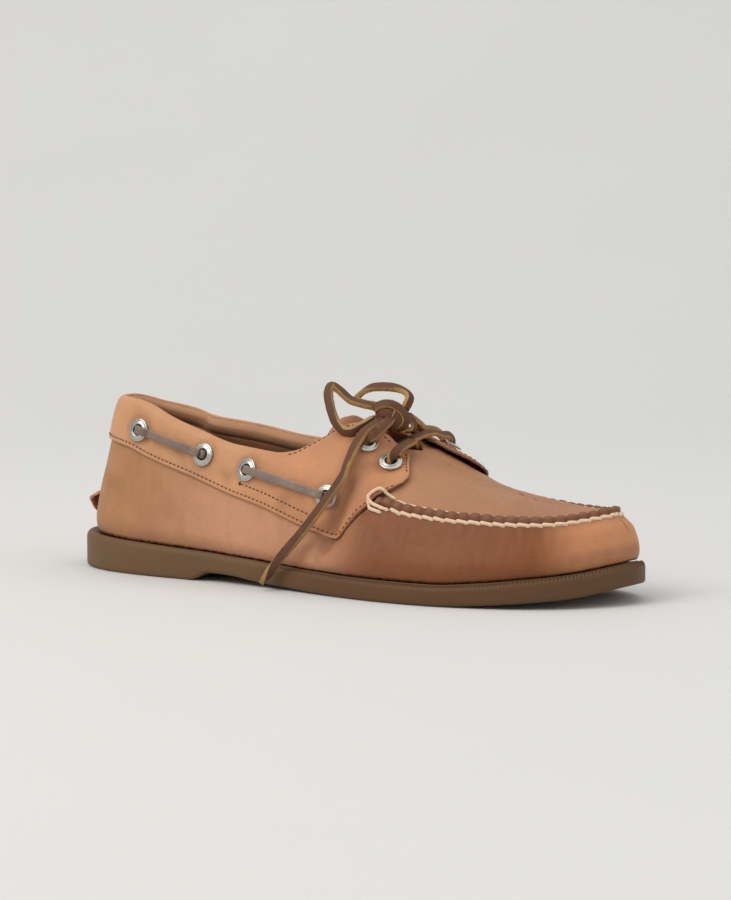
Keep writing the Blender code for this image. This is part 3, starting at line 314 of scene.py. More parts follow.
def throatScale(side, along):
    gaps = [abs(edgeAt(each, shareAt(each, along))[1] - laceLine) for each in (-1, 1)]
    own = gaps[0] if side < 0 else gaps[1]
    return 1 + smoothStep(0.40, 0.50, along) * (2 * own / sum(gaps) - 1)


@lru_cache(maxsize=None)
def knotsOf(side, c):
    q = edgeShare(side, c)
    place = alongAt(side, q)
    along = skewed(side, place)
    edge, inward, lean = edgeAt(side, q), inwardAt(side, q), leanAt(side, q)
    base = soleTop(place) + clearance

    def point(inset, up, way):
        x, y = edge + way * inset
        return np.array([x, y, base + up])

    seamUp = section("seamUp", along) * seamRise
    margin = section("welt", along) * weltMargin
    feather = point(margin, 0.0, inward)
    belly = point(margin - section("belly", along) * ballWidth, bellyUp * min(seamUp, seamRise), inward)
    seam = point(section("seamIn", along) * ballWidth, seamUp, lean)
    if c <= gate:
        rise = collarRise + (instepRise - collarRise) * smoothStep(0.42, 0.50, along)
        inset = section("edgeIn", along) * ballWidth * throatScale(side, place)
        top = point(inset, section("outerUp" if side < 0 else "innerUp", along) * rise, lean)
        close = smoothStep(gate - gateBlend, gate, c)
        top = top * (1 - close) + crestAt(0.0) * close
    else:
        top = crestAt((c - gate) / (1 - gate))
    step = top - seam
    flat = np.array([-lean[0], -lean[1], 0.0])
    bow = flat * step[2] - np.array([0.0, 0.0, 1.0]) * float(np.dot(step, flat))
    bow = bow * section("crownOut", along)
    if side > 0:
        bow = bow * (1 + innerBulge * smoothStep(0.52, 0.60, along) * (1 - smoothStep(0.64, 0.76, along)))
    crown = seam + step * section("crownAt", along) + bow
    return [feather, belly, seam, crown, top], float(smoothStep(0.585, 0.66, along))


def columnPoints(side, c, vs):
    # the last: v is -1 at the feather, 0 at the seam, 1 at the collar or the crest
    vs = np.asarray(vs, float)
    (feather, belly, seam, crown, top), fold = knotsOf(side, c)
    a, b = np.linalg.norm(belly - feather), np.linalg.norm(seam - belly)
    f, s = np.linalg.norm(crown - seam), np.linalg.norm(top - crown)
    smooth = (crown - belly) / (f + b)
    end = smooth * (1 - fold) + (seam - belly) / b * fold
    low = (seam - feather) / (a + b)
    high = (top - seam) / (f + s)
    start = smooth * (1 - fold) + (2 * (crown - seam) / f - high) * fold
    splitLow, splitHigh = a / (a + b) - 1, f / (f + s)
    out = np.zeros((len(vs), 3))
    for k, (mask, first, last, ta, tb, lo, hi) in enumerate((
            (vs <= splitLow, feather, belly, (2 * (belly - feather) / a - low) * a, low * a, -1, splitLow),
            ((vs > splitLow) & (vs < 0), belly, seam, low * b, end * b, splitLow, 0),
            ((vs >= 0) & (vs <= splitHigh), seam, crown, start * f, high * f, 0, splitHigh),
            (vs > splitHigh, crown, top, high * s, (2 * (top - crown) / s - high) * s, splitHigh, 1))):
        if mask.any():
            out[mask] = hermite(first, last, ta, tb, (vs[mask] - lo) / (hi - lo))
    return out


def form(side, c, v):
    if c < 0:
        side, c = -side, -c
    if c > 1:
        side, c = -side, 2 - c
    return columnPoints(side, c, [v])[0]


def normalAt(side, c, v):
    if c > 0.995:
        v = min(v, 0.97)
    step, last, tiny = 0.008, gate - gateBlend, 0.000002
    ahead = form(side, min(c + step, last) if c < last + tiny else c + step, v)
    behind = form(side, max(c - step, gate) if c > gate - tiny else c - step, v)
    rise = 0.03
    if v + rise > 1.0 and c > gate - tiny:
        over = form(-side, c, 2 - v - rise)
    else:
        over = form(side, c, min(v + rise, 1.0))
    under = form(side, c, max(v - rise, -1.0))
    normal = np.cross(ahead - behind, over - under) * -side
    return normal / np.linalg.norm(normal)


@lru_cache(maxsize=None)
def highLength(side, c):
    return pathLength(columnPoints(side, c, np.linspace(0, 1, 9)))


def placeAt(side, c):
    return skewed(side, alongAt(side, edgeShare(side, c)))


def padWeight(side, c):
    return float(1 - smoothStep(0.43, 0.49, placeAt(side, c)))


def ridgeFade(side, c):
    return float(smoothStep(seamEnd - 0.016, seamEnd + 0.008, placeAt(side, c)))


def panelSpan(side, c):
    if c <= gate - gateBlend:
        return 0.0, 1.0
    table = outerTab if side < 0 else innerTab
    bound = float(smoothStep(gate - gateBlend, gate, c))
    along = placeAt(side, c)
    return smoothValue(table, 1, along) * bound, 1 - (1 - smoothValue(table, 2, along)) * bound


print("form ready")


# surfaces in whole columns
def wrapped(side, c, vs):
    if c < 0:
        side, c = -side, -c
    if c > 1:
        side, c = -side, 2 - c
    return columnPoints(side, c, vs)


def columnNormals(side, c, vs):
    vs = np.asarray(vs, float)
    flat = np.minimum(vs, 0.97) if c > 0.995 else vs
    step, last, tiny, rise = 0.008, gate - gateBlend, 0.000002, 0.03
    ahead = wrapped(side, min(c + step, last) if c < last + tiny else c + step, flat)
    behind = wrapped(side, max(c - step, gate) if c > gate - tiny else c - step, flat)
    over = columnPoints(side, c, np.minimum(flat + rise, 1.0))
    if c > gate - tiny:
        past = flat + rise > 1.0
        if past.any():
            over[past] = columnPoints(-side, c, 2 - flat[past] - rise)
    under = columnPoints(side, c, np.maximum(flat - rise, -1.0))
    normals = np.cross(ahead - behind, over - under) * -side
    return normals / np.linalg.norm(normals, axis=1)[:, None]


@lru_cache(maxsize=None)
def lowLength(side, c):
    return pathLength(columnPoints(side, c, np.linspace(-1, 0, 9)))


def heightToV(side, c, across):
    # metres over the seam line, or under it, as v
    return across / (highLength(side, c) if across > 0 else lowLength(side, c))


# the seam line from the outer side's throat round the toe to the inner side's
moc = {"pitch": 0.0054, "thread": 0.0018, "start": seamEnd - 0.012, "pinch": 0.50, "groove": 0.0006}
seamStarts = {side: columnAt(side, unskewed(side, moc["start"])) for side in (-1, 1)}
seamColumns = ([(-1, c) for c in np.linspace(seamStarts[-1], 1, 120)]
               + [(1, c) for c in np.linspace(1, seamStarts[1], 120)[1:]])
seamLine = np.array([form(side, c, 0.0) for side, c in seamColumns])
seamRun = runAlong(seamLine)
seamTotal = seamRun[-1]
mocCount = int(seamTotal / moc["pitch"])
mocPitch = seamTotal / mocCount
seamKeys = np.array([c if side < 0 else 2 - c for side, c in seamColumns])


def seamPlace(side, c):
    return float(np.interp(c if side < 0 else 2 - c, seamKeys, seamRun))


def seamColumn(run):
    key = float(np.interp(run, seamRun, seamKeys))
    return (-1, key) if key <= 1 else (1, 2 - key)


def pinchAt(side, c):
    # 1 at a needle hole of the moc seam, 0 half way between two
    away = seamPlace(side, c) / mocPitch
    away = abs(away - round(away)) * mocPitch
    return math.exp(-(away / 0.0011) ** 2)


# creases: side, depth, width, then along and v of each point
creases = (
    (-1, 0.0017, 0.0045, ((0.574, 0.62), (0.566, 0.34), (0.556, 0.05), (0.548, -0.30), (0.538, -0.62))),
    (-1, -0.0007, 0.0060, ((0.592, 0.30), (0.584, 0.02), (0.574, -0.30), (0.560, -0.60))),
    (-1, 0.0005, 0.0032, ((0.530, 0.10), (0.516, -0.16), (0.500, -0.42))),
    (-1, 0.0005, 0.0040, ((0.470, 0.40), (0.462, 0.18), (0.455, -0.10))),
    (-1, 0.0006, 0.0045, ((0.330, 0.42), (0.345, 0.30), (0.366, 0.44))),
    (-1, 0.0004, 0.0060, ((0.236, 0.62), (0.250, 0.36), (0.268, 0.14))),
    (-1, 0.0004, 0.0060, ((0.610, -0.20), (0.640, -0.45), (0.676, -0.70))),
    (-1, 0.0003, 0.0045, ((0.652, -0.12), (0.672, -0.34), (0.700, -0.50))),
    (-1, 0.0004, 0.0050, ((0.030, -0.30), (0.070, -0.44), (0.120, -0.42))),
    (-1, 0.0003, 0.0070, ((0.205, -0.20), (0.235, -0.50), (0.250, -0.80))),
    (-1, 0.0003, 0.0050, ((0.660, 0.35), (0.690, 0.48), (0.724, 0.52))),
    (-1, 0.0003, 0.0060, ((0.680, 0.86), (0.700, 0.74), (0.735, 0.70))),
    (1, 0.0010, 0.0050, ((0.596, 0.62), (0.588, 0.34), (0.578, 0.05), (0.568, -0.30), (0.556, -0.60))),
    (1, -0.0006, 0.0060, ((0.616, 0.30), (0.606, 0.02), (0.596, -0.30))),
    (1, 0.0005, 0.0036, ((0.548, 0.10), (0.530, -0.20), (0.512, -0.45))),
    (1, 0.0005, 0.0045, ((0.345, 0.44), (0.360, 0.28), (0.382, 0.42))),
    (1, 0.0004, 0.0060, ((0.240, 0.60), (0.256, 0.34), (0.270, 0.12))),
    (1, 0.0004, 0.0060, ((0.640, -0.20), (0.668, -0.45), (0.700, -0.72))),
    (1, 0.0003, 0.0070, ((0.180, -0.24), (0.215, -0.52), (0.230, -0.80))),
)


def creaseDepth(side, c, vs):
    x = placeAt(side, c) * soleLength
    ys = np.where(vs > 0, vs * highLength(side, c), vs * lowLength(side, c))
    total = np.zeros(len(vs))
    for each, depth, width, points in creases:
        xs = [p[0] * soleLength for p in points]
        if each != side or x < min(xs) - 3 * width or x > max(xs) + 3 * width:
            continue
        pts = np.array([(p[0] * soleLength, p[1] * (highLength(side, c) if p[1] > 0 else lowLength(side, c)))
                        for p in points])
        best, share = np.full(len(vs), 1.0), np.zeros(len(vs))
        for k, (a, b) in enumerate(zip(pts, pts[1:])):
            way = b - a
            t = np.clip(((x - a[0]) * way[0] + (ys - a[1]) * way[1]) / way.dot(way), 0, 1)
            gap = np.hypot(x - a[0] - t * way[0], ys - a[1] - t * way[1])
            near = gap < best
            best, share = np.where(near, gap, best), np.where(near, (k + t) / (len(pts) - 1), share)
        total -= depth * np.exp(-(best / width) ** 2 * 2) * np.sin(np.pi * np.clip(share, 0.06, 0.94)) ** 0.7
    return total


def lump(x, y, z, size, seed=0.0):
    return noise.noise(Vector((x / size + seed, y / size, z / size - seed)))


def upperRelief(side, c, vs):
    # height of the leather over the last: ridge, seam groove, puckers and creases
    vs = np.asarray(vs, float)
    fade, high, low = ridgeFade(side, c), highLength(side, c), lowLength(side, c)
    pinch, run = pinchAt(side, c), seamPlace(side, c)
    width = mocRidgeWidth
    across = np.where(vs > 0, vs * high, vs * low)
    t = across / width
    shape = smoothStep(0.0, 0.20, t) * (1 - smoothStep(0.70, 1.0, t))
    shape = shape * (0.90 + 0.14 * np.sin(np.pi * np.clip(t, 0, 1)))
    dent = 1 - moc["pinch"] * pinch * (0.6 + 0.4 * np.cos(np.pi * np.clip(t, 0, 1)) ** 2)
    uneven = 1 + 0.10 * lump(run, 0.3, 0.1, 0.012, 4.0)
    heights = mocRidge * fade * shape * dent * uneven
    heights -= fade * moc["groove"] * np.exp(-((across + 0.0003) / 0.0007) ** 2)
    heights -= fade * 0.0004 * np.exp(-((across - width - 0.0006) / 0.0009) ** 2) * (0.6 + 0.6 * pinch)
    # puckers of the wall under the seam, and gentler ones on the apron
    under = np.clip(-across, 0, 1)
    wave = 0.55 * math.cos(2 * math.pi * run / mocPitch) + 0.75 * lump(run, 0.0, 0.0, 0.0052, 1.0)
    heights -= fade * 0.00026 * wave * np.exp(-under / 0.0065) * (vs < 0) * smoothStep(0.0, 0.0012, under)
    over = np.clip(across - width, 0, 1)
    heights -= fade * 0.00010 * wave * np.exp(-over / 0.004) * (across > width)
    # fuller toe wall over a tucked-in foot
    toe = float(smoothStep(0.90, 0.98, placeAt(side, c)))
    full, tucked = np.exp(-((vs + 0.30) / 0.20) ** 2), np.exp(-((vs + 0.76) / 0.15) ** 2)
    heights += toe * (0.0013 * full - 0.0006 * tucked)
    soft = np.array([lump(run + c, float(v) * 0.03, side * 0.2, 0.013, 7.0) for v in vs])
    heights += 0.00022 * soft * smoothStep(0.0, 0.06, np.abs(vs)) * smoothStep(-1.0, -0.86, vs)
    ends = smoothStep(-1.0, -0.85, vs)
    return heights + creaseDepth(side, c, vs) * ends * (1 - fade * np.exp(-(across / 0.004) ** 2))


def mixed(low, high, share):
    return np.asarray(low)[None, :] * (1 - share[:, None]) + np.asarray(high)[None, :] * share[:, None]


def linear(red, green, blue):
    return tuple(((k / 255 + 0.055) / 1.055) ** 2.4 if k > 10 else k / 3294 for k in (red, green, blue))


tones = {
    "heel": linear(177, 125, 84), "quarter": linear(196, 142, 108), "vamp": linear(130, 74, 36),
    # the toe tone is a painted highlight, lighter than the vamp where light falls on the toe
    "toe": linear(204, 140, 97), "plug": linear(176, 126, 90), "plugToe": linear(170, 118, 84),
    "ridge": linear(124, 80, 54), "low": linear(132, 85, 58), "edge": linear(88, 52, 34),
    # creaseShade is painted shade for the dips of creases
    "creaseShade": linear(118, 74, 50),
    "panelRear": linear(203, 149, 107), "panelFront": linear(196, 137, 97),
    "lining": linear(172, 118, 72), "tongue": linear(182, 122, 82), "insole": linear(132, 90, 56),
    "sole": linear(108, 80, 50), "soleFront": linear(96, 66, 38), "thread": linear(238, 206, 176),
    "brownThread": linear(92, 52, 34),
    "laceFace": linear(98, 62, 42), "laceCut": linear(172, 136, 84), "barFace": linear(150, 134, 124),
}


def upperTone(side, c, vs, heights):
    place = placeAt(side, c)
    fade = ridgeFade(side, c)
    across = np.where(vs > 0, vs * highLength(side, c), vs * lowLength(side, c))
    front = float(smoothStep(0.50, 0.66, place))
    # painted highlight: the wall lightens to the toe tone over the front end of the shoe
    toe = float(smoothStep(0.90, 0.98, place))
    along = float(smoothStep(0.12, 0.36, place))
    rear = np.array(tones["heel"]) * (1 - along) + np.array(tones["quarter"]) * along
    wall = rear * (1 - front) + (np.array(tones["vamp"]) * (1 - toe) + np.array(tones["toe"]) * toe) * front
    ahead = float(smoothStep(0.7, 0.95, place))
    plug = np.array(tones["plug"]) * (1 - ahead) + np.array(tones["plugToe"]) * ahead
    high = smoothStep(-0.001, 0.0006, across)
    shade = mixed(wall, plug, high)
    ridge = fade * smoothStep(-0.0010, 0.0002, across)
    ridge = ridge * (1 - smoothStep(mocRidgeWidth, mocRidgeWidth + 0.0014, across))
    # painted shade: the ridge darkens at each needle hole, in the pinched dent
    ridgeShade = np.array(tones["ridge"]) * (1.12 - 0.42 * pinchAt(side, c))
    shade = shade * (1 - ridge[:, None]) + ridgeShade * ridge[:, None]
    # low on the wall by the sole: dirt and painted shade; just under the moc ridge: painted shade
    dirtAndShade = 0.40 * (1 - smoothStep(-1.0, -0.72, vs))
    dirtAndShade = dirtAndShade + 0.35 * fade * np.exp(-np.abs(across + 0.001) / 0.0025) * (across < 0)
    shade = shade * (1 - dirtAndShade[:, None]) + np.array(tones["low"]) * dirtAndShade[:, None]
    # painted shade: darker where the leather dips into a crease
    deep = np.clip(-heights / 0.0016, 0, 0.45) * (across < -0.001)
    return shade * (1 - deep[:, None]) + np.array(tones["creaseShade"]) * deep[:, None]


# building meshes
def gridFaces(rows, columns, start=0):
    corner = (np.arange(rows - 1)[:, None] * columns + np.arange(columns - 1)[None, :] + start).ravel()
    return np.stack([corner, corner + 1, corner + columns + 1, corner + columns], 1)


def newPiece(name, points, faces, material, shade=None, weld=0.0, sharp=None):
    mesh = bpy.data.meshes.new(name)
    mesh.from_pydata(np.asarray(points, float).tolist(), [], [list(map(int, f)) for f in faces])
    if shade is not None:
        layer = mesh.attributes.new("shade", "FLOAT_COLOR", "POINT")
        colours = np.ones((len(points), 4))
        colours[:, :3] = np.asarray(shade, float)
        layer.data.foreach_set("color", colours.ravel())
    bm = bmesh.new()
    bm.from_mesh(mesh)
    if weld:
        bmesh.ops.remove_doubles(bm, verts=bm.verts, dist=weld)
        bmesh.ops.dissolve_degenerate(bm, edges=bm.edges, dist=weld)
    bmesh.ops.recalc_face_normals(bm, faces=bm.faces)
    bm.to_mesh(mesh)
    bm.free()
    mesh.shade_smooth()
    if sharp:
        mesh.set_sharp_from_angle(angle=math.radians(sharp))
    mesh.materials.append(material)
    piece = bpy.data.objects.new(name, mesh)
    scene.collection.objects.link(piece)
    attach(piece, "root")
    return piece


def gatherSheets(sheets):
    # sheets of points, with the colour of each point, as one list
    points, faces, shades, start = [], [], [], 0
    for grid, shade in sheets:
        grid = np.asarray(grid, float)
        rows, columns = grid.shape[:2]
        points.append(grid.reshape(-1, 3))
        faces.append(gridFaces(rows, columns, start))
        shades.append(np.broadcast_to(np.asarray(shade, float), grid.shape).reshape(-1, 3))
        start += rows * columns
    return np.vstack(points), np.vstack(faces), np.vstack(shades)


# materials
def newMaterial(name, roughness, specular=0.5, metallic=0.0):
    material = bpy.data.materials.new(name)
    material.use_nodes = True
    shader = material.node_tree.nodes["Principled BSDF"]
    shader.inputs["Roughness"].default_value = roughness
    shader.inputs["Specular IOR Level"].default_value = specular
    shader.inputs["Metallic"].default_value = metallic
    return material, material.node_tree, shader


def addNode(tree, kind, values=(), **settings):
    node = tree.nodes.new(kind)
    for key, value in settings.items():
        setattr(node, key, value)
    for key, value in dict(values).items():
        node.inputs[key].default_value = value
    return node


def noiseNode(tree, scale, detail=4.0, rough=0.55):
    place = addNode(tree, "ShaderNodeTexCoord")
    node = addNode(tree, "ShaderNodeTexNoise", {"Scale": scale, "Detail": detail, "Roughness": rough})
    tree.links.new(place.outputs["Object"], node.inputs["Vector"])
    return node.outputs["Fac"]


def ranged(tree, source, low, high):
    # the middle of a texture's range, spread from low to high
    node = addNode(tree, "ShaderNodeMapRange",
                   {"From Min": 0.3, "From Max": 0.7, "To Min": low, "To Max": high})
    tree.links.new(source, node.inputs["Value"])
    return node.outputs["Result"]


def coloured(tree, shader, colour, layers):
    # the colour, or the mesh's own shade, times each texture between its low and its high share
    if colour is None:
        base = addNode(tree, "ShaderNodeAttribute", attribute_name="shade").outputs["Color"]
    else:
        node = addNode(tree, "ShaderNodeRGB")
        node.outputs[0].default_value = (*colour, 1.0)
        base = node.outputs["Color"]
    for source, low, high in layers:
        node = addNode(tree, "ShaderNodeVectorMath", operation="SCALE")
        tree.links.new(base, node.inputs[0])
        tree.links.new(ranged(tree, source, low, high), node.inputs["Scale"])
        base = node.outputs["Vector"]
    tree.links.new(base, shader.inputs["Base Color"])


def bumped(tree, shader, layers):
    # layers of height, strength and distance, one over the other
    last = None
    for height, strength, distance in layers:
        node = addNode(tree, "ShaderNodeBump", {"Strength": strength, "Distance": distance})
        tree.links.new(height, node.inputs["Height"])
        if last:
            tree.links.new(last, node.inputs["Normal"])
        last = node.outputs["Normal"]
    tree.links.new(last, shader.inputs["Normal"])


def leatherMaterial(name, colour=None, grain=0.00010, gloss=0.50, mottle=0.08):
    material, tree, shader = newMaterial(name, gloss, 0.34)
    broad, middle = noiseNode(tree, 38, 3.0), noiseNode(tree, 260, 5.0, 0.62)
    fine, half = noiseNode(tree, 2600, 3.0, 0.7), 0.5 * mottle
    coloured(tree, shader, colour, ((broad, 1 - mottle, 1 + mottle), (middle, 1 - half, 1 + half),
                                    (fine, 0.95, 1.04)))
    tree.links.new(ranged(tree, middle, gloss - 0.09, gloss + 0.10), shader.inputs["Roughness"])
    cells = addNode(tree, "ShaderNodeTexVoronoi", {"Scale": 1500.0, "Randomness": 1.0}, feature="SMOOTH_F1")
    tree.links.new(addNode(tree, "ShaderNodeTexCoord").outputs["Object"], cells.inputs["Vector"])
    bumped(tree, shader, ((cells.outputs["Distance"], 0.5, grain), (middle, 0.35, 0.0005),
                          (fine, 0.25, grain)))
    return material


# the plainer finishes: base is roughness, specular and metallic; a texture is scale, detail, roughness, low
# and high share of the colour, and strength and distance of its bump; rough is its last texture's range
finishes = {
    "rubber": {"base": (0.55, 0.35, 0.0), "sheen": 0.0, "rough": (0.48, 0.62),
               "textures": ((1500, 4.0, 0.65, 0.95, 1.05, 0.25, 0.00012),
                            (45, 3.0, 0.55, 0.93, 1.07, 0.20, 0.0004))},
    "thread": {"base": (0.72, 0.25, 0.0), "sheen": 0.15, "rough": None,
               "textures": ((2200, 3.0, 0.60, 0.84, 1.08, 0.50, 0.00012),)},
    "metal": {"base": (0.26, 0.50, 1.0), "sheen": 0.0, "rough": (0.20, 0.36),
              "textures": ((900, 4.0, 0.60, 0.90, 1.00, 0.12, 0.00008),)},
    "lining": {"base": (0.80, 0.20, 0.0), "sheen": 0.2, "rough": None,
               "textures": ((1300, 4.0, 0.70, 0.86, 1.10, 0.55, 0.0002),
                            (70, 4.0, 0.55, 0.86, 1.12, 0.0, 0.0))},
}


def finishMaterial(name, kind, colour=None):
    finish = finishes[kind]
    material, tree, shader = newMaterial(name, *finish["base"])
    shader.inputs["Sheen Weight"].default_value = finish["sheen"]
    found = [(noiseNode(tree, *row[:3]), row[3:5], row[5:]) for row in finish["textures"]]
    coloured(tree, shader, colour, [(source, *shares) for source, shares, bump in found])
    bumped(tree, shader, [(source, *bump) for source, shares, bump in found if bump[0]])
    if finish["rough"]:
        tree.links.new(ranged(tree, found[-1][0], *finish["rough"]), shader.inputs["Roughness"])
    return material


grainLeather = leatherMaterial("grain_leather", gloss=0.55)
panelLeather = leatherMaterial("panel_leather", gloss=0.52)
laceLeather = leatherMaterial("rawhide", grain=0.00016, gloss=0.60, mottle=0.20)
liningCloth = finishMaterial("lining", "lining")
insoleLeather = leatherMaterial("insole_leather", tones["insole"], gloss=0.62)
soleRubber = finishMaterial("sole_rubber", "rubber")
creamThread = finishMaterial("cream_thread", "thread", tones["thread"])
brownThread = finishMaterial("brown_thread", "thread", tones["brownThread"])
eyeletMetal = finishMaterial("eyelet_metal", "metal", linear(196, 193, 186))
print("materials ready")


# free ends and loops of the lace, the routes of the CAD tubes: along, side, up
rearLoop = (
    (0.560, -0.026, 1.310), (0.532, -0.039, 1.335), (0.515, -0.048, 1.357), (0.496, -0.068, 1.437),
    (0.488, -0.087, 1.467), (0.489, -0.116, 1.397), (0.512, -0.170, 1.237), (0.536, -0.203, 1.160),
    (0.551, -0.203, 1.152), (0.561, -0.166, 1.186), (0.567, -0.101, 1.227),
)
frontLoop = (
    (0.558, 0.024, 1.304), (0.505, 0.043, 1.346), (0.522, 0.058, 1.429), (0.549, 0.063, 1.451),
    (0.581, 0.058, 1.440), (0.605, 0.034, 1.390), (0.604, 0.001, 1.304),
)
outerEnd = (
    (0.582, -0.089, 1.231), (0.578, -0.152, 1.191), (0.574, -0.200, 1.150), (0.574, -0.270, 1.056),
    (0.573, -0.321, 0.944), (0.576, -0.382, 0.845), (0.560, -0.441, 0.684), (0.538, -0.450, 0.550),
    (0.517, -0.456, 0.432), (0.480, -0.458, 0.250), (0.446, -0.458, 0.056),
)
innerEnd = (
    (0.602, 0.034, 1.256), (0.602, 0.116, 1.190), (0.600, 0.169, 1.149), (0.603, 0.251, 1.122),
    (0.611, 0.319, 1.025), (0.615, 0.377, 0.887), (0.611, 0.415, 0.726), (0.603, 0.435, 0.565),
    (0.591, 0.444, 0.404), (0.579, 0.449, 0.242), (0.568, 0.454, 0.113),
)
underStrand = (
    (0.626, -0.110, 1.052), (0.627, -0.068, 1.068), (0.620, -0.010, 1.072),
    (0.610, 0.048, 1.033), (0.601, 0.101, 0.984), (0.591, 0.155, 0.959),
)
overStrand = (
    (0.635, 0.169, 1.101), (0.627, 0.121, 1.120), (0.616, 0.068, 1.101), (0.611, 0.024, 1.079),
    (0.598, -0.020, 1.031), (0.587, -0.073, 0.974), (0.578, -0.116, 0.955),
)
knotStrand = ((0.598, -0.169, 1.175), (0.597, -0.097, 1.226), (0.590, -0.029, 1.254), (0.588, 0.048, 1.242),
              (0.585, 0.125, 1.209))
lace = {"width": 0.0040, "thick": 0.0026, "corner": 0.0006, "step": 0.0008, "uneven": 0.00016}


def route(table):
    rows = np.array(table, float)
    return (rows - (0.5, 0.0, 0.0)) * (soleLength, ballWidth, crestAt(0.0)[2])


def smoothPath(points, step):
    points = np.asarray(points, float)
    gaps = np.linalg.norm(np.diff(points, axis=0), axis=1)
    count = len(points)
    tangents = []
    for i in range(count):
        low, high = max(i - 1, 0), min(i + 1, count - 1)
        tangents.append((points[high] - points[low]) / gaps[low:high].sum())
    fine = [hermite(points[i], points[i + 1], tangents[i] * gap, tangents[i + 1] * gap, k / 12)
            for i, gap in enumerate(gaps) for k in range(12)]
    fine = np.array(fine + [points[-1]])
    reach = runAlong(fine)
    stops = np.linspace(0.0, reach[-1], max(int(round(reach[-1] / step)), 3) + 1)
    return np.stack([np.interp(stops, reach, fine[:, axis]) for axis in range(3)], axis=1)


def ribbonRing(width, thick, corner):
    # rounded rectangle, with 1 on the cut edges and the flesh side, 0 on the grain face
    ring, cut = [], []
    for sx, sy, start in ((1, 1, 0), (-1, 1, 90), (-1, -1, 180), (1, -1, 270)):
        for k in range(4):
            turn = math.radians(start + 30 * k)
            ring.append((sx * (width / 2 - corner) + corner * math.cos(turn),
                         sy * (thick / 2 - corner) + corner * math.sin(turn)))
            cut.append(0.0 if math.sin(turn) > 0.6 else 1.0 if abs(math.sin(turn)) <= 0.6 else 0.8)
    return np.array(ring), np.array(cut)


def ribbonSheet(points, faceWays, width, thick, seed=0.0, taper=0.0):
    # a strap of leather whose grain face looks the way that faceWays gives: share, direction
    points = np.asarray(points, float)
    ways = np.gradient(points, axis=0)
    ways /= np.linalg.norm(ways, axis=1)[:, None]
    shares = np.linspace(0, 1, len(points))
    if callable(faceWays):
        looks = np.array([faceWays(p, s) for p, s in zip(points, shares)], float)
    else:
        keys = [row[0] for row in faceWays]
        looks = np.stack([np.interp(shares, keys, [row[1][k] for row in faceWays]) for k in range(3)], axis=1)
    looks = looks - ways * (looks * ways).sum(axis=1)[:, None]
    looks /= np.linalg.norm(looks, axis=1)[:, None]
    overs = np.cross(looks, ways)
    ring, cut = ribbonRing(width, thick, lace["corner"])
    grid, shade = [], []
    for k, (point, look, over) in enumerate(zip(points, looks, overs)):
        run = k * lace["step"]
        wide = 1 + 0.07 * lump(run, seed, 0.0, 0.006, seed) - taper * max(0.0, shares[k] - 0.97) / 0.03
        edge = np.array([lump(run, seed + 3.0 * j, 0.4, 0.0016, seed) for j in range(len(ring))])
        grow = 1 + edge * lace["uneven"] / (thick / 2) * (0.3 + cut)
        grid.append([point + over * x * wide * g + look * y * g for (x, y), g in zip(ring, grow)])
        torn = np.array([lump(run, j * 1.7, seed, 0.0022, 2.0) for j in range(len(ring))])
        rough = np.clip(cut + 0.35 * torn * (cut > 0), 0, 1)
        shade.append(np.asarray(tones["laceFace"]) * (1 - rough[:, None])
                     + np.asarray(tones["laceCut"]) * rough[:, None])
    grid, shade = np.array(grid), np.array(shade)
    grid = np.concatenate([grid, grid[:, :1]], axis=1)
    shade = np.concatenate([shade, shade[:, :1]], axis=1)
    return grid, shade


def cappedStrap(parts):
    # straps closed by a fan at each end
    points, faces, shades, start = [], [], [], 0
    for grid, shade in parts:
        rows, columns = grid.shape[:2]
        points += [grid[:, :-1].reshape(-1, 3), grid[[0, -1], :-1].mean(axis=1)]
        shades += [shade[:, :-1].reshape(-1, 3), shade[[0, -1], :-1].mean(axis=1)]
        around = columns - 1
        for r in range(rows - 1):
            for k in range(around):
                a, b = start + r * around + k, start + r * around + (k + 1) % around
                faces.append((a, b, b + around, a + around))
        ends = start + rows * around
        for which, base in ((0, start), (1, start + (rows - 1) * around)):
            for k in range(around):
                faces.append((base + k, base + (k + 1) % around, ends + which))
        start = ends + 2
    return np.vstack(points), faces, np.vstack(shades)


def strapPiece(name, parts):
    points, faces, shades = cappedStrap(parts)
    piece = newPiece(name, points, faces, laceLeather, shades)
    return piece


def outOf(centre, lift=(0.0, 0.0, 0.0)):
    centre, lift = np.asarray(centre), np.asarray(lift)
    return lambda point, share: point - centre + lift


def freeLace(name, table, faceWays, node, farEnd, seed):
    path = smoothPath(route(table), lace["step"])
    taper = 0.35 if farEnd == "bare" else 0.0
    strap = ribbonSheet(path, faceWays, lace["width"], lace["thick"], seed, taper)
    piece = strapPiece(name, [strap])
    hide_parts(node)
    return piece


rearCentre = route(rearLoop[3:9]).mean(axis=0)
frontCentre = route(frontLoop[1:6]).mean(axis=0)
knotAt = route(knotStrand)[2]

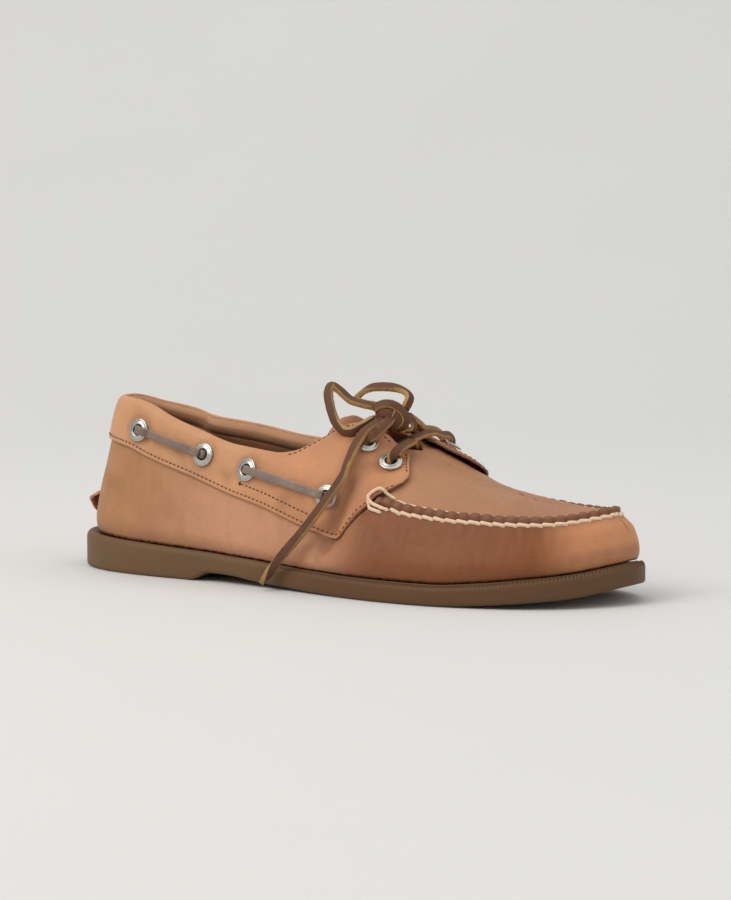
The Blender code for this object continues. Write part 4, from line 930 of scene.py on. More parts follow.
# the knot, as short straps wound round its middle: right, up and towards the viewer
knotSpec = {"unit": 0.0034, "core": (1.75, 1.35, 0.75), "broad": 1.30}
viewAway = Vector((lookAt.x - camera.location.x, lookAt.y - camera.location.y, 0.0)).normalized()
viewRight = np.array(viewAway.cross(Vector((0, 0, 1))))
viewFront = -np.array(viewAway)
knotWraps = (
    ((-2.65, 0.95, 0.30), (-1.90, 1.50, 0.55), (-0.90, 1.72, 0.80), (0.25, 1.42, 0.98), (1.20, 0.62, 1.02),
     (1.62, -0.45, 0.95), (1.20, -1.40, 0.75), (0.25, -1.80, 0.20)),
    ((0.95, 0.85, 0.60), (0.62, 0.25, 1.15), (0.22, -0.55, 1.30), (-0.20, -1.25, 1.05), (-0.50, -1.85, 0.25)),
    ((-2.25, 0.55, 0.25), (-1.40, 0.42, 0.85), (-0.55, 0.42, 1.05), (0.25, 0.70, 0.85), (0.90, 1.10, 0.20)),
    ((-2.85, -0.56, 0.76), (-2.10, -0.38, 0.45), (-1.20, -0.32, 0.20), (-0.30, -0.40, 0.00)),
    ((1.55, 0.30, -0.35), (2.20, -0.25, -0.15), (2.70, -1.10, -0.15), (2.45, -1.85, -0.30),
     (1.55, -2.00, -0.45)),
    ((-1.60, 0.60, -0.65), (-0.50, 1.25, -0.85), (0.90, 1.00, -0.85), (1.60, -0.20, -0.75),
     (0.90, -1.20, -0.85),
     (-0.60, -1.25, -0.90), (-1.50, -0.50, -0.75), (-1.60, 0.60, -0.65)),
)


def knotPoint(row):
    return knotAt + (viewRight * row[0] + np.array([0, 0, row[1]]) + viewFront * row[2]) * knotSpec["unit"]


def knotCore():
    # the body behind the straps, its lace tone darkened as painted shade for the inside of the knot
    rings, (wide, tall, deep) = [], knotSpec["core"]
    for turn in np.linspace(0.12, math.pi - 0.12, 12):
        across, ring = -math.cos(turn), math.sin(turn)
        rings.append([knotPoint((wide * across, tall * ring * math.cos(a), deep * ring * math.sin(a)))
                      for a in np.linspace(0, math.tau, 17)])
    grid = np.array(rings)
    return grid, np.broadcast_to(np.array(tones["laceFace"]) * 0.55, grid.shape)


def eyeletFrame(name):
    # centre of the flange's seat and the outward axis, from the node's own turned shape
    mesh = nodes["eyelet_" + name].data
    points = np.unique(np.round([tuple(v.co) for v in mesh.vertices], 6), axis=0)
    middle = points.mean(axis=0)
    values, ways = np.linalg.eigh(np.cov((points - middle).T))
    odd = 0 if abs(values[1] - values[0]) > abs(values[2] - values[1]) else 2
    axis = ways[:, odd]
    out = np.array([0.0, -0.8 if name.startswith("outer") else 0.8, 0.5])
    axis = axis if axis.dot(out) > 0 else -axis
    top = ((points - middle) @ axis).max()
    return middle + axis * (top - eyeletRim), axis


eyeletNames = [kind + "_" + row for kind in ("outer", "inner")
               for row in ("rear", "mid_rear", "mid_front", "side_front", "top", "throat_front")]
eyeletFrames = {name: eyeletFrame(name) for name in eyeletNames}
laceBend = ((-1.15, 0.0), (0.10, 0.0), (0.56, 0.12), (0.91, 0.50), (1.04, 1.10))


def laceExit(name, toward):
    seat, axis = eyeletFrames[name]
    way = np.asarray(toward) - seat
    way = way - axis * way.dot(axis)
    way /= np.linalg.norm(way)
    rise = eyeletRim + 0.5 * laceDiameter + clearance
    return [seat + axis * rise * up + way * laceDiameter * out for up, out in laceBend]


bars = {"width": 0.0036, "thick": 0.0024}


def barPiece(word, kind, first, last):
    start, end = eyeletFrames[word + first], eyeletFrames[word + last]
    points = laceExit(word + first, end[0])
    rise = eyeletRim + 0.5 * laceDiameter + clearance
    barShape = nodes["lace_bar_" + word + kind]
    spine = np.array([tuple(v.co) for v in barShape.data.vertices])
    axis = start[1] + end[1]
    axis /= np.linalg.norm(axis)
    for k in range(1, 6):
        share = k / 6
        place = start[0] * (1 - share) + end[0] * share
        along = (end[0] - start[0]) / np.linalg.norm(end[0] - start[0])
        near = spine[np.abs((spine - place) @ along) < 0.006]
        level = ((near - place) @ axis)
        lift = (level.max() + level.min()) / 2 if len(near) else rise
        points.append(place + axis * lift)
    points += laceExit(word + last, start[0])[::-1]
    path = smoothPath(points, lace["step"])

    def looks(point, share):
        # near its ends the strap's face turns towards the other eyelet
        lean = 20 if share < 0.12 else -20 if share > 0.88 else 0
        return start[1] * (1 - share) + end[1] * share + (end[0] - start[0]) * lean

    grid, shade = ribbonSheet(path, looks, bars["width"], bars["thick"], 11.0 + start[0][0] * 90)
    mix = np.asarray(tones["barFace"])
    shade = shade * 0.30 + mix * 0.70 * (0.92 + 0.16 * (shade[..., :1] > 0.2))
    piece = strapPiece("lace_bar_strap_" + word + kind, [(grid, shade)])
    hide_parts("lace_bar_" + word + kind)
    return piece


def makeLaces():
    knotParts = [knotCore()]
    for k, row in enumerate(knotWraps):
        path = smoothPath([knotPoint(p) for p in row], lace["step"])
        broad = knotSpec["broad"] if k == 1 else 1.0
        knotParts.append(ribbonSheet(path, outOf(knotAt, viewFront * 0.004), lace["width"] * broad,
                                     lace["thick"] * 0.7, 3.0 + 2 * k))
    middle = route(knotStrand)
    ends = [smoothPath(np.vstack([laceExit("outer_top", middle[0]), middle[:3]]), lace["step"]),
            smoothPath(np.vstack([laceExit("inner_top", middle[-1]), middle[:1:-1]]), lace["step"])]
    for k, (path, look) in enumerate(zip(ends, ((0.45, -0.6, 0.65), (0.5, 0.5, 0.7)))):
        first = (look[0] + 0.6, look[1] * 0.2, look[2])
        knotParts.append(ribbonSheet(path, ((0, first), (0.35, look), (1, look)), lace["width"],
                                     lace["thick"], 21.0 + k))
    knot = strapPiece("lace_knot_straps", knotParts)
    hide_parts("lace_knot")
    freeLace("lace_loop_rear_strap", rearLoop, outOf(rearCentre, viewFront * 0.012),
             "lace_loop_rear", "knot", 5.0)
    freeLace("lace_loop_front_strap", frontLoop, outOf(frontCentre, viewFront * 0.004),
             "lace_loop_front", "knot", 6.0)
    freeLace("lace_end_outer_strap", outerEnd,
             ((0.0, (0.2, 0.4, 0.8)), (0.15, (0.1, -0.3, 0.9)), (0.30, (-0.2, -0.95, 0.2)),
               (0.68, (-0.4, -0.9, 0.0)),
              (0.84, (0.4, -0.7, 0.3)), (1.0, (0.9, 0.2, 0.3))), "lace_end_outer", "bare", 7.0)
    freeLace("lace_end_inner_strap", innerEnd,
             ((0.0, (0.1, 0.2, 0.9)), (0.25, (0.1, 0.5, 0.8)), (0.5, (0.1, 0.95, 0.2)),
               (0.8, (0.3, 0.9, 0.1)),
              (1.0, (0.8, 0.5, 0.1))), "lace_end_inner", "bare", 8.0)
    under, over = route(underStrand), route(overStrand)
    crossing = []
    for k, (name, row, look) in enumerate((("outer_throat_front", under, (0.35, -0.35, 0.9)),
                                           ("inner_throat_front", over, (0.4, 0.1, 0.9)))):
        path = smoothPath(np.vstack([laceExit(name, row[0]), row]), lace["step"])
        start = np.array([0.9, 0.0, 0.1]) if k == 0 else np.array([0.9, -0.1, 0.2])
        crossing.append(ribbonSheet(path, ((0, start), (0.3, look), (1, look)), lace["width"],
                                    lace["thick"] * 0.85, 31.0 + k))
    piece = strapPiece("lace_crossing_straps", crossing)
    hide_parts("lace_crossing")
    for word in ("outer_", "inner_"):
        barPiece(word, "rear", "rear", "mid_rear")
        barPiece(word, "front", "mid_front", "side_front")


makeLaces()
print("laces ready")

# upper: outer leather in dense columns
upperSpec = {"rearColumns": 120, "frontColumns": 215, "lowRows": 40, "ridgeRows": 15, "highRows": 40,
             "liningColumns": 90, "liningRows": 44, "rim": 7}


def upperColumns(rear, front):
    last = gate - gateBlend
    behind = list(np.linspace(0, last, rear)) + [last + gateBlend * k / 4 for k in (1, 2, 3)]
    return behind + list(np.linspace(gate, 1, front))


def upperVs(side, c):
    width = mocRidgeWidth / highLength(side, c)
    low = -(np.linspace(1, 0, upperSpec["lowRows"]) ** 1.5)
    ridge = np.linspace(0, width, upperSpec["ridgeRows"])[1:]
    high = width + (1 - width) * (np.linspace(0, 1, upperSpec["highRows"])[1:] ** 1.15)
    return np.concatenate([low, ridge, high])


def offsetColumn(side, c, vs, heights):
    return columnPoints(side, c, vs) + columnNormals(side, c, vs) * np.asarray(heights)[:, None]


def innerColumn(side, c, vs):
    # the upper's inside with the collar's pad
    vs = np.asarray(vs, float)
    thin = offsetColumn(side, c, vs, np.full(len(vs), -wall))
    weight, start = padWeight(side, c), 1 - collarPadDepth / highLength(side, c)
    if weight == 0:
        return thin
    share = np.clip((vs - start) / (1 - start), 0, 1)[:, None]
    inward = np.array([*leanAt(side, edgeShare(side, c)), 0.0])
    foot = offsetColumn(side, c, [start], [-wall])[0]
    top = form(side, c, 1.0) + inward * 0.5 * collarPad - np.array([0, 0, 0.5 * collarPad])
    padded = foot + (top - foot) * share + inward * collarPad * 0.5 * share * (1 - share)
    return np.where(vs[:, None] > start, thin * (1 - weight) + padded * weight, thin)


def rimColumn(side, c, outer, inner, count):
    # rounded edge from the outer face to the inner one
    across = outer - inner
    wide = np.linalg.norm(across)
    weight = padWeight(side, c)
    inward = np.array([*leanAt(side, edgeShare(side, c)), 0.0])
    up = np.array([0.0, 0.0, 1.0]) * weight + columnWay(side, c) * (1 - weight)
    rise = (0.23 * weight + 0.30 * (1 - weight)) * wide
    line = []
    for k in range(count + 1):
        turn = math.pi * k / count
        over = (up + inward * 0.3 * weight) * rise * math.sin(turn)
        line.append((outer + inner) / 2 + across / 2 * math.cos(turn) + over)
    return line


def columnWay(side, c):
    a, b = columnPoints(side, c, [0.96, 1.0])
    return (b - a) / np.linalg.norm(b - a)


def makeUpper():
    sheets, columns = [], upperColumns(upperSpec["rearColumns"], upperSpec["frontColumns"])
    for side in (-1, 1):
        grid, shades, rims = [], [], []
        for c in columns:
            vs = upperVs(side, c)
            heights = upperRelief(side, c, vs)
            closing = smoothStep(1.0, 0.985, vs) if c <= gate else 1.0
            grid.append(offsetColumn(side, c, vs, heights * closing))
            shades.append(upperTone(side, c, vs, heights))
            if c <= gate + 0.00001:
                inner = innerColumn(side, c, [1.0])[0]
                rims.append(rimColumn(side, c, grid[-1][-1], inner, upperSpec["rim"]))
        sheets.append((grid, np.array(shades)))
        sheets.append((rims, np.array(tones["panelRear"]) * 0.78))
        feather = [[line[0], innerColumn(side, c, [-1.0])[0]] for line, c in zip(grid, columns)]
        sheets.append((feather, np.array(tones["edge"])))
    points, faces, shades = gatherSheets(sheets)
    piece = newPiece("upper_leather", points, faces, grainLeather, shades, weld=0.000004)
    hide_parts("upper")


# the collar's inside: a padded band of leather, a sewn groove painted dark as shade, then the lining
band = {"depth": 0.0052, "groove": 0.0005, "grooveWidth": 0.0007, "swell": 0.0005, "bandRows": 12}


def liningColumn(side, c):
    weight, length = padWeight(side, c), highLength(side, c)
    foot = 1 - (band["depth"] + 2 * band["grooveWidth"]) / length
    vs = np.concatenate([np.linspace(-1, foot, upperSpec["liningRows"] - band["bandRows"], endpoint=False),
                         np.linspace(foot, 1, band["bandRows"])])
    points = innerColumn(side, c, vs)
    inward = np.array([*leanAt(side, edgeShare(side, c)), 0.0])
    under = (1 - vs) * length
    share = np.clip(under / band["depth"], 0, 1)
    seam = np.exp(-((under - band["depth"] - 0.5 * band["grooveWidth"]) / band["grooveWidth"]) ** 2)
    swell = band["swell"] * np.sin(np.pi * share) - band["groove"] * seam
    points = points + inward * (weight * swell)[:, None]
    leather = weight * (1 - smoothStep(band["depth"], band["depth"] + 0.0004, under))
    shade = mixed(tones["lining"], np.array(tones["panelRear"]) * 0.62, leather)
    # painted shade: darker along the sewn groove under the band
    return points, shade * (1 - 0.75 * weight * seam)[:, None]


def makeLining():
    sheets = []
    for side in (-1, 1):
        columns = upperColumns(upperSpec["liningColumns"], upperSpec["liningColumns"])
        found = [liningColumn(side, c) for c in columns]
        sheets.append(tuple(map(np.array, zip(*found))))
    points, faces, shades = gatherSheets(sheets)
    piece = newPiece("upper_lining", points, faces, liningCloth, shades, weld=0.000004)
    return piece


makeUpper()
liningPiece = makeLining()
print("upper ready")


# collar panel: a leather overlay with rounded edges
panelSpec = {"rearColumns": 170, "tabColumns": 46, "rows": 46, "round": 0.00055, "stitchIn": 0.0021}


def panelBase(side, c, vs):
    vs = np.asarray(vs, float)
    over = mocRidge * ridgeFade(side, c) * (1 - smoothStep(0.0, 2 * mocRidgeWidth / highLength(side, c), vs))
    loose = tabSlack * float(smoothStep(gate - 2 * gateBlend, gate, c))
    near = innerTabLift * float(smoothStep(gate - 0.06, gate, c)) if side > 0 else 0.0
    return clearance + loose + over + near * smoothStep(0.30, 0.75, vs)


def panelEnd(side):
    table = outerTab if side < 0 else innerTab
    return columnAt(side, unskewed(side, table[-1][0]))


def panelColumns(side):
    last, end = gate - gateBlend, panelEnd(side)
    share = np.linspace(0, 1, panelSpec["tabColumns"])
    tab = last + (end - last) * (1 - (1 - share) ** 1.5)
    return list(np.linspace(0, last, panelSpec["rearColumns"])) + list(tab[1:])


def panelRelief(side, c, vs, points):
    # swells between the rows of stitches, soft dips beside the eyelets, creases
    length = highLength(side, c)
    low, high = panelSpan(side, c)
    fromLow, fromHigh = (vs - low) * length, (high - vs) * length
    place = placeAt(side, c)
    relief = -0.00016 * np.exp(-((fromLow - panelSpec["stitchIn"]) / 0.0006) ** 2)
    stay = float(smoothStep(0.43, 0.47, place))
    relief -= 0.00014 * stay * np.exp(-((fromHigh - 0.0026) / 0.0006) ** 2)
    soft = np.array([lump(place * soleLength, float(v) * length, side * 0.1, 0.016, 3.0) for v in vs])
    relief += 0.00026 * soft
    for seat, axis in eyeletFrames.values():
        gaps = points - seat
        level = gaps @ axis
        radial = np.sqrt(np.maximum((gaps ** 2).sum(axis=1) - level ** 2, 0))
        relief -= 0.00030 * np.exp(-((radial - 0.0062) / 0.0016) ** 2) * (np.abs(level) < 0.008)
    inside = smoothStep(0.0, 0.004, fromLow) * smoothStep(0.0, 0.003, fromHigh)
    return relief + 0.75 * creaseDepth(side, c, vs) * inside


def panelTone(side, c, vs, heights):
    place = placeAt(side, c)
    share = float(smoothStep(0.30, 0.52, place))
    base = np.array(tones["panelRear"]) * (1 - share) + np.array(tones["panelFront"]) * share
    length = highLength(side, c)
    low, high = panelSpan(side, c)
    edge = np.exp(-np.clip((vs - low) * length, 0, 1) / 0.0004)
    stay = float(smoothStep(0.43, 0.47, place))
    edge = np.maximum(edge, stay * np.exp(-np.clip((high - vs) * length, 0, 1) / 0.0004))
    dark = 0.55 * edge[:, None]
    shade = np.broadcast_to(base, (len(vs), 3)) * (1 - dark) + np.array(tones["edge"]) * dark
    # painted shade: darker where the leather dips into a crease
    deep = np.clip(-heights / 0.0014, 0, 0.5)
    return shade * (1 - deep[:, None]) + np.array(tones["creaseShade"]) * deep[:, None]


def panelVs(side, c):
    low, high = panelSpan(side, c)
    length = highLength(side, c)
    fine = np.array([0.0, 0.00006, 0.00018, 0.00036, 0.00060, 0.0012, 0.0018, 0.0024, 0.0030]) / length
    fine = np.minimum(fine, (high - low) * 0.4)
    middle = np.linspace(low + fine[-1], high - fine[-1], panelSpec["rows"] - 2 * len(fine) + 2)[1:-1]
    return np.concatenate([low + fine, middle, (high - fine)[::-1]])


def roundedEdge(distance, radius):
    near = np.clip(1 - distance / radius, 0, 1)
    return np.sqrt(np.clip(1 - near ** 2, 0, 1))


def makePanel():
    sheets = []
    for side in (-1, 1):
        outer, inner, shades = [], [], []
        end = panelEnd(side)
        for c in panelColumns(side):
            vs = panelVs(side, c)
            length = highLength(side, c)
            low, high = panelSpan(side, c)
            base = panelBase(side, c, vs)
            base = base * (1 - padWeight(side, c) * smoothStep(1 - 0.0015 / length, 1.0, vs))
            feet, normals = columnPoints(side, c, vs), columnNormals(side, c, vs)
            relief = panelRelief(side, c, vs, feet)
            away = np.minimum((vs - low) * length, (high - vs) * length)
            away = np.minimum(away, max(end - c, 0.0) * 0.20)
            height = base + (panelWall + relief) * (0.45 + 0.55 * roundedEdge(away, panelSpec["round"]))
            outer.append(feet + normals * height[:, None])
            inner.append(feet + normals * base[:, None])
            shades.append(panelTone(side, c, vs, relief))
        outer, inner, shades = np.array(outer), np.array(inner), np.array(shades)
        sheets.append((outer, shades))
        sheets.append((inner, tones["edge"]))
        for k in (0, -1):
            sheets.append((np.stack([outer[:, k], inner[:, k]], axis=1), shades[:, k][:, None] * 0.8))
        sheets.append((np.stack([outer[-1], inner[-1]]), np.array(tones["edge"])))
    points, faces, shades = gatherSheets(sheets)
    piece = newPiece("collar_panel_leather", points, faces, panelLeather, shades, weld=0.000004, sharp=50)
    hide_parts("collar_panel")


makePanel()
print("collar panel ready")

# outsole: moulded side with a fine saw-tooth edge along the forefoot
soleSpec = {"tooth": 0.0018, "toothDeep": 0.0009, "toothFrom": 0.42, "drop": 0.0008}


def soleRing(along, fine, tooth):
    low, high, lip = soleBottom(along), soleTop(along), soleLip
    cut, drop = tooth * fine, soleSpec["drop"] * fine
    return (
        (2.2 * lip, low), (lip, low), (0.55 * lip, low + 0.15 * lip), (0.2 * lip, low + 0.45 * lip),
        (0.0, low + lip),
        (0.0, low + 1.8 * lip), (0.0, (low + high) / 2), (0.0, high - 2.2 * lip),
        (0.05 * lip, high - 1.35 * lip),
        (0.18 * lip + 0.5 * cut, high - 0.95 * lip), (0.42 * lip + 0.7 * cut, high - 0.5 * lip - 0.4 * cut),
        (0.75 * lip + 0.4 * cut, high - 0.15 * lip - 0.9 * cut), (1.05 * lip, high - cut),
        (1.40 * lip, high - drop),
        (1.90 * lip, high - drop), (2.25 * lip, high - 0.05 * lip), (2.9 * lip, high - 0.6 * lip),
        (3.6 * weltMargin, high - 0.6 * lip),
    )


def makeSole():
    sheets, borders = [], {}
    for side in (-1, 1):
        shares = []
        total = planToe if side < 0 else planTotal - planToe
        q = 0.0
        while q < 1:
            shares.append(q)
            fine = alongAt(side, q) > soleSpec["toothFrom"]
            q += (soleSpec["tooth"] / 4 if fine else 0.0016) / total
        shares.append(1.0)
        lines, run = [], 0.0
        for k, q in enumerate(shares):
            along = alongAt(side, q)
            run = q * total
            fine = float(smoothStep(soleSpec["toothFrom"], soleSpec["toothFrom"] + 0.05, along))
            phase = run / soleSpec["tooth"] % 1
            tooth = soleSpec["toothDeep"] * (1 - abs(2 * phase - 1))
            edge, inward = edgeAt(side, q), inwardAt(side, q)
            lines.append([[*(edge + inward * inset), z] for inset, z in soleRing(along, fine, tooth)])
        lines = np.array(lines)
        # painted shade: the sole's side darkens towards the forefoot
        front = smoothStep(0.34, 0.60, np.array([alongAt(side, q) for q in shares]))
        shade = mixed(tones["sole"], tones["soleFront"], front)
        sheets.append((lines, shade[:, None, :]))
        coarse = list(range(0, len(shares), 6)) + [len(shares) - 1]
        borders[side] = (np.array([shares[k] for k in coarse]), lines)
    for row in (0, -1):
        for side in (-1, 1):
            line = borders[side][1][:, row]
            middle = line.copy()
            other = borders[-side][1][:, row]
            middle[:, 1] = (line[:, 1] + np.interp(line[:, 0], other[:, 0], other[:, 1])) / 2
            grid = np.array([line + (middle - line) * k / 5 for k in range(6)])
            sheets.append((grid, tones["soleFront"]))
    points, faces, shades = gatherSheets(sheets)
    piece = newPiece("outsole_rubber", points, faces, soleRubber, shades, weld=0.00002, sharp=42)
    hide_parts("outsole")


makeSole()
print("outsole ready")

# tongue: bowed to pass under the throat's edges, as the solid is
tongueTable = (
    (0.480, 0.045, 1.010, 0.240, 0.62), (0.500, 0.040, 1.030, 0.240, 0.66),
    (0.530, 0.030, 0.975, 0.225, 0.72),
    (0.560, 0.030, 0.890, 0.205, 0.74), (0.590, 0.035, 0.800, 0.185, 0.70),
    (0.620, 0.045, 0.735, 0.165, 0.62),
    (0.665, 0.070, 0.640, 0.140, 0.52),
)
tongueSpec = {"gap": 0.0016, "bow": 1.8, "corner": 0.0060, "rows": 56, "columns": 44}
insideTree = BVHTree.FromObject(liningPiece, bpy.context.evaluated_depsgraph_get())


def tongueFalls(share):
    along = tongueTable[0][0] + (tongueTable[-1][0] - tongueTable[0][0]) * share
    side, up, half, fall = (smoothValue(tongueTable, k, along) for k in (1, 2, 3, 4))
    middle = np.array([(along - 0.5) * soleLength, side * ballWidth, soleTop(along) + up * instepRise])
    half *= ballWidth
    falls = {}
    for way in (-1, 1):
        falls[way] = fall * half
        for k in range(6, 31):
            low = middle + np.array([0.0, way * half * k / 30, -0.45 * instepRise])
            hit = insideTree.ray_cast(Vector(low), Vector((0, 0, 1)), instepRise)[0]
            if hit:
                need = middle[2] - hit[2] + tongueSpec["gap"]
                falls[way] = max(falls[way], need / (k / 30) ** tongueSpec["bow"])
    return middle, half, falls


def makeTongue():
    rows = tongueSpec["rows"]
    outer, inner, shades = [], [], []
    found = [tongueFalls(k / rows) for k in range(rows + 1)]
    fallRows = {way: np.array([f[2][way] for f in found]) for way in (-1, 1)}
    for way in (-1, 1):
        line = np.pad(fallRows[way], 2, mode="edge")
        fallRows[way] = np.maximum(np.convolve(line, np.ones(5) / 5, mode="valid"), fallRows[way])
    for k, (middle, half, _) in enumerate(found):
        share = k / rows
        corner = tongueSpec["corner"] * (1 - float(smoothStep(0.0, 0.16, share)))
        top, under = [], []
        for j in range(tongueSpec["columns"] + 1):
            t = 2 * j / tongueSpec["columns"] - 1
            drop = fallRows[-1 if t < 0 else 1][k] * abs(t) ** tongueSpec["bow"]
            point = middle + np.array([corner * t ** 4, half * t, -drop])
            edge = min((1 - abs(t)) * half, share * (tongueTable[-1][0] - tongueTable[0][0]) * soleLength)
            slim = 0.5 * tongueThickness * (1 - math.sqrt(1 - max(0.0, 1 - edge / 0.0009) ** 2))
            wave = 0.0003 * lump(*point, 0.012, 9.0)
            seam = 0.00016 * math.exp(-((edge - 0.0032) / 0.0006) ** 2)
            top.append(point + np.array([0, 0, -slim + wave - seam]))
            under.append(point + np.array([0, 0, slim - tongueThickness]))
        outer.append(top)
        inner.append(under)
    outer, inner = np.array(outer), np.array(inner)
    shade = np.array(tones["tongue"])
    dark = np.array(tones["edge"])
    sheets = [(outer, shade), (inner, np.array(tones["lining"]))]
    for k in (0, -1):
        sheets.append((np.stack([outer[:, k], inner[:, k]], axis=1), dark))
        sheets.append((np.stack([outer[k], inner[k]]), dark))
    points, faces, shades = gatherSheets(sheets)
    piece = newPiece("tongue_leather", points, faces, grainLeather, shades, weld=0.000004, sharp=60)
    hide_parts("tongue")
    return outer


tongueTop = makeTongue()

# heel tab: the end of the back strip, curled out at its lower edge
tabSpec = {"width": 0.0130, "reach": 0.0040, "wall": 0.0021, "up": (-0.62, -0.66, -0.71, -0.77, -0.83),
           "out": (0.0, 0.45, 1.00, 0.60, 0.05)}


def makeHeelTab():
    half = 0.5 * tabSpec["width"]
    ends = {}
    for side in (-1, 1):
        c = 0.0
        while abs(form(side, c, tabSpec["up"][0])[1]) < half:
            c += 0.0005
        ends[side] = c
    columns = [(-1, ends[-1] * k / 12) for k in range(12, 0, -1)] + [(1, ends[1] * k / 12) for k in range(13)]
    table = list(zip(range(5), tabSpec["up"], tabSpec["out"]))
    outer, inner = [], []
    for side, c in columns:
        line, under = [], []
        across = c / ends[side]
        for k in np.linspace(0, 4, 29):
            v, out = smoothValue(table, 1, k), smoothValue(table, 2, k)
            foot, way = columnPoints(side, c, [v])[0], normalAt(side, c, v)
            edge = min((1 - across) * half, (4 - k) * 0.001)
            slim = 0.5 * tabSpec["wall"] * (1 - math.sqrt(1 - max(0.0, 1 - edge / 0.0007) ** 2))
            low = clearance + out * tabSpec["reach"]
            line.append(foot + way * (low + tabSpec["wall"] - slim))
            under.append(foot + way * (low + slim * (k > 2.2)))
        outer.append(line)
        inner.append(under)
    outer, inner = np.array(outer), np.array(inner)
    sheets = [(outer, np.array(tones["quarter"])), (inner, np.array(tones["low"]))]
    for k in (0, -1):
        sheets.append((np.stack([outer[:, k], inner[:, k]], axis=1), np.array(tones["low"])))
        sheets.append((np.stack([outer[k], inner[k]]), np.array(tones["low"])))
    points, faces, shades = gatherSheets(sheets)
    piece = newPiece("heel_tab_leather", points, faces, panelLeather, shades, weld=0.000004, sharp=60)
    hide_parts("heel_tab")
    return outer


tabRows = makeHeelTab()
print("tongue and heel tab ready")

# eyelets: turned rings with a dished flange, a rolled bore and a turned-over back
eyeletSpec = {"segments": 56, "barrel": 0.0032, "liftedDepth": 0.0022, "boreShadowUp": 0.00045}


def eyeletProfile(name):
    reach, bore, rim, depth = eyeletRadius, eyeletBore, eyeletRim, 2 * wall + panelWall
    if name == "inner_throat_front":
        depth = eyeletSpec["liftedDepth"]
    barrel = eyeletSpec["barrel"]
    return (
        (bore, -depth), (bore + 0.0001, -depth - 0.0001), (barrel, -depth), (barrel, -0.00005),
        (reach - 0.0002, 0.0),
        (reach - 0.00005, 0.10 * rim), (reach, 0.28 * rim), (reach - 0.0001, 0.48 * rim),
        (reach - 0.0003, 0.60 * rim),
        (reach - 0.0006, 0.66 * rim), (reach - 0.0009, 0.62 * rim), (reach - 0.0012, 0.66 * rim),
        (bore + 0.0011, 0.82 * rim), (bore + 0.0008, 0.95 * rim), (bore + 0.0005, 1.0 * rim),
        (bore + 0.0002, 0.92 * rim),
        (bore + 0.00005, 0.72 * rim), (bore, 0.45 * rim),
    )


def turned(seat, axis, radius, angle, up):
    turn = Vector((0, 0, 1)).rotation_difference(Vector(axis)).to_matrix()
    return seat + np.array(turn @ Vector((radius * math.cos(angle), radius * math.sin(angle), up)))


def makeEyelets():
    for name, (seat, axis) in eyeletFrames.items():
        profile = eyeletProfile(name)
        rows = []
        for k in range(eyeletSpec["segments"] + 1):
            angle = math.tau * (k % eyeletSpec["segments"]) / eyeletSpec["segments"]
            notch = 1 + 0.006 * math.cos(angle * 14)
            rows.append([turned(seat, axis, r * notch if r > 0.005 else r, angle, z)
                         for r, z in profile + profile[:1]])
        points, faces, _ = gatherSheets([(rows, (1.0, 1.0, 1.0))])
        piece = newPiece("eyelet_ring_" + name, points, faces, eyeletMetal, weld=0.000002, sharp=60)
        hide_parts("eyelet_" + name)


def makeBoreShadows():
    # painted shade: dark discs in the bores, round the lace, for the shadow inside each hole
    sheets = []
    for seat, axis in eyeletFrames.values():
        grid = [[turned(seat, axis, radius, angle, eyeletSpec["boreShadowUp"])
                 for angle in np.linspace(0, math.tau, 25)] for radius in (0.0001, 0.98 * eyeletBore)]
        sheets.append((grid, np.array(tones["edge"]) * 0.22))
    points, faces, shades = gatherSheets(sheets)
    piece = newPiece("eyelet_bore_shadows", points, faces, grainLeather, shades)


makeEyelets()
makeBoreShadows()
print("eyelets ready")


# threads: short round tubes that dip into the leather at both ends
def threadSheet(path, radius, sides=8, ends=2, twist=0.0):
    path = np.asarray(path, float)
    ways = np.gradient(path, axis=0)
    ways /= np.linalg.norm(ways, axis=1)[:, None]
    up = np.cross(ways[0], (0.31, 0.17, 0.93))
    rows, count, run = [], len(path), 0.0
    for k, (point, way) in enumerate(zip(path, ways)):
        up = up - way * np.dot(up, way)
        up /= np.linalg.norm(up)
        over = np.cross(way, up)
        close = min(k, count - 1 - k)
        size = radius * (1.0 if close >= ends else (0.30, 0.78)[min(close, 1)])
        run += 0.0 if k == 0 else float(np.linalg.norm(path[k] - path[k - 1]))
        line = []
        for j in range(sides + 1):
            turn = math.tau * (j % sides) / sides
            swell = 1 + twist * math.cos(2 * turn + run / radius * 1.6)
            line.append(point + (up * math.cos(turn) + over * math.sin(turn)) * size * swell)
        rows.append(line)
    return np.array(rows)


def threadPiece(name, paths, radius, material, sides=8, twist=0.0):
    sheets = [(threadSheet(path, radius, sides, twist=twist), (1.0, 1.0, 1.0)) for path in paths]
    points, faces, _ = gatherSheets(sheets)
    piece = newPiece(name, points, faces, material, weld=0.0)
    return piece


def upperPoint(side, c, across, lift):
    v = heightToV(side, c, across)
    height = upperRelief(side, c, [v])[0]
    return columnPoints(side, c, [v])[0] + columnNormals(side, c, [v])[0] * (height + lift)


mocStitch = {"rise": 0.00062, "rear": 0.0001, "front": -0.0009, "overlap": 0.05, "first": 2}


def mocPath(k, low, high, rise):
    points = []
    for t in np.linspace(-mocStitch["overlap"], 1 + mocStitch["overlap"], 11):
        side, c = seamColumn(min(max((k + t) * mocPitch, 0.0), seamTotal))
        share = t if side < 0 else 1 - t
        swing = low + (high - low) * share
        wobble = 0.00016 * lump(k * 1.7, t * 0.6, 0.0, 1.0, 5.0)
        arch = math.sin(math.pi * min(max((t + 0.05) / 1.1, 0.0), 1.0)) ** 0.6
        points.append(upperPoint(side, c, swing + wobble, rise * (1.45 * arch - 0.45)))
    return smoothPath(points, 0.00042)


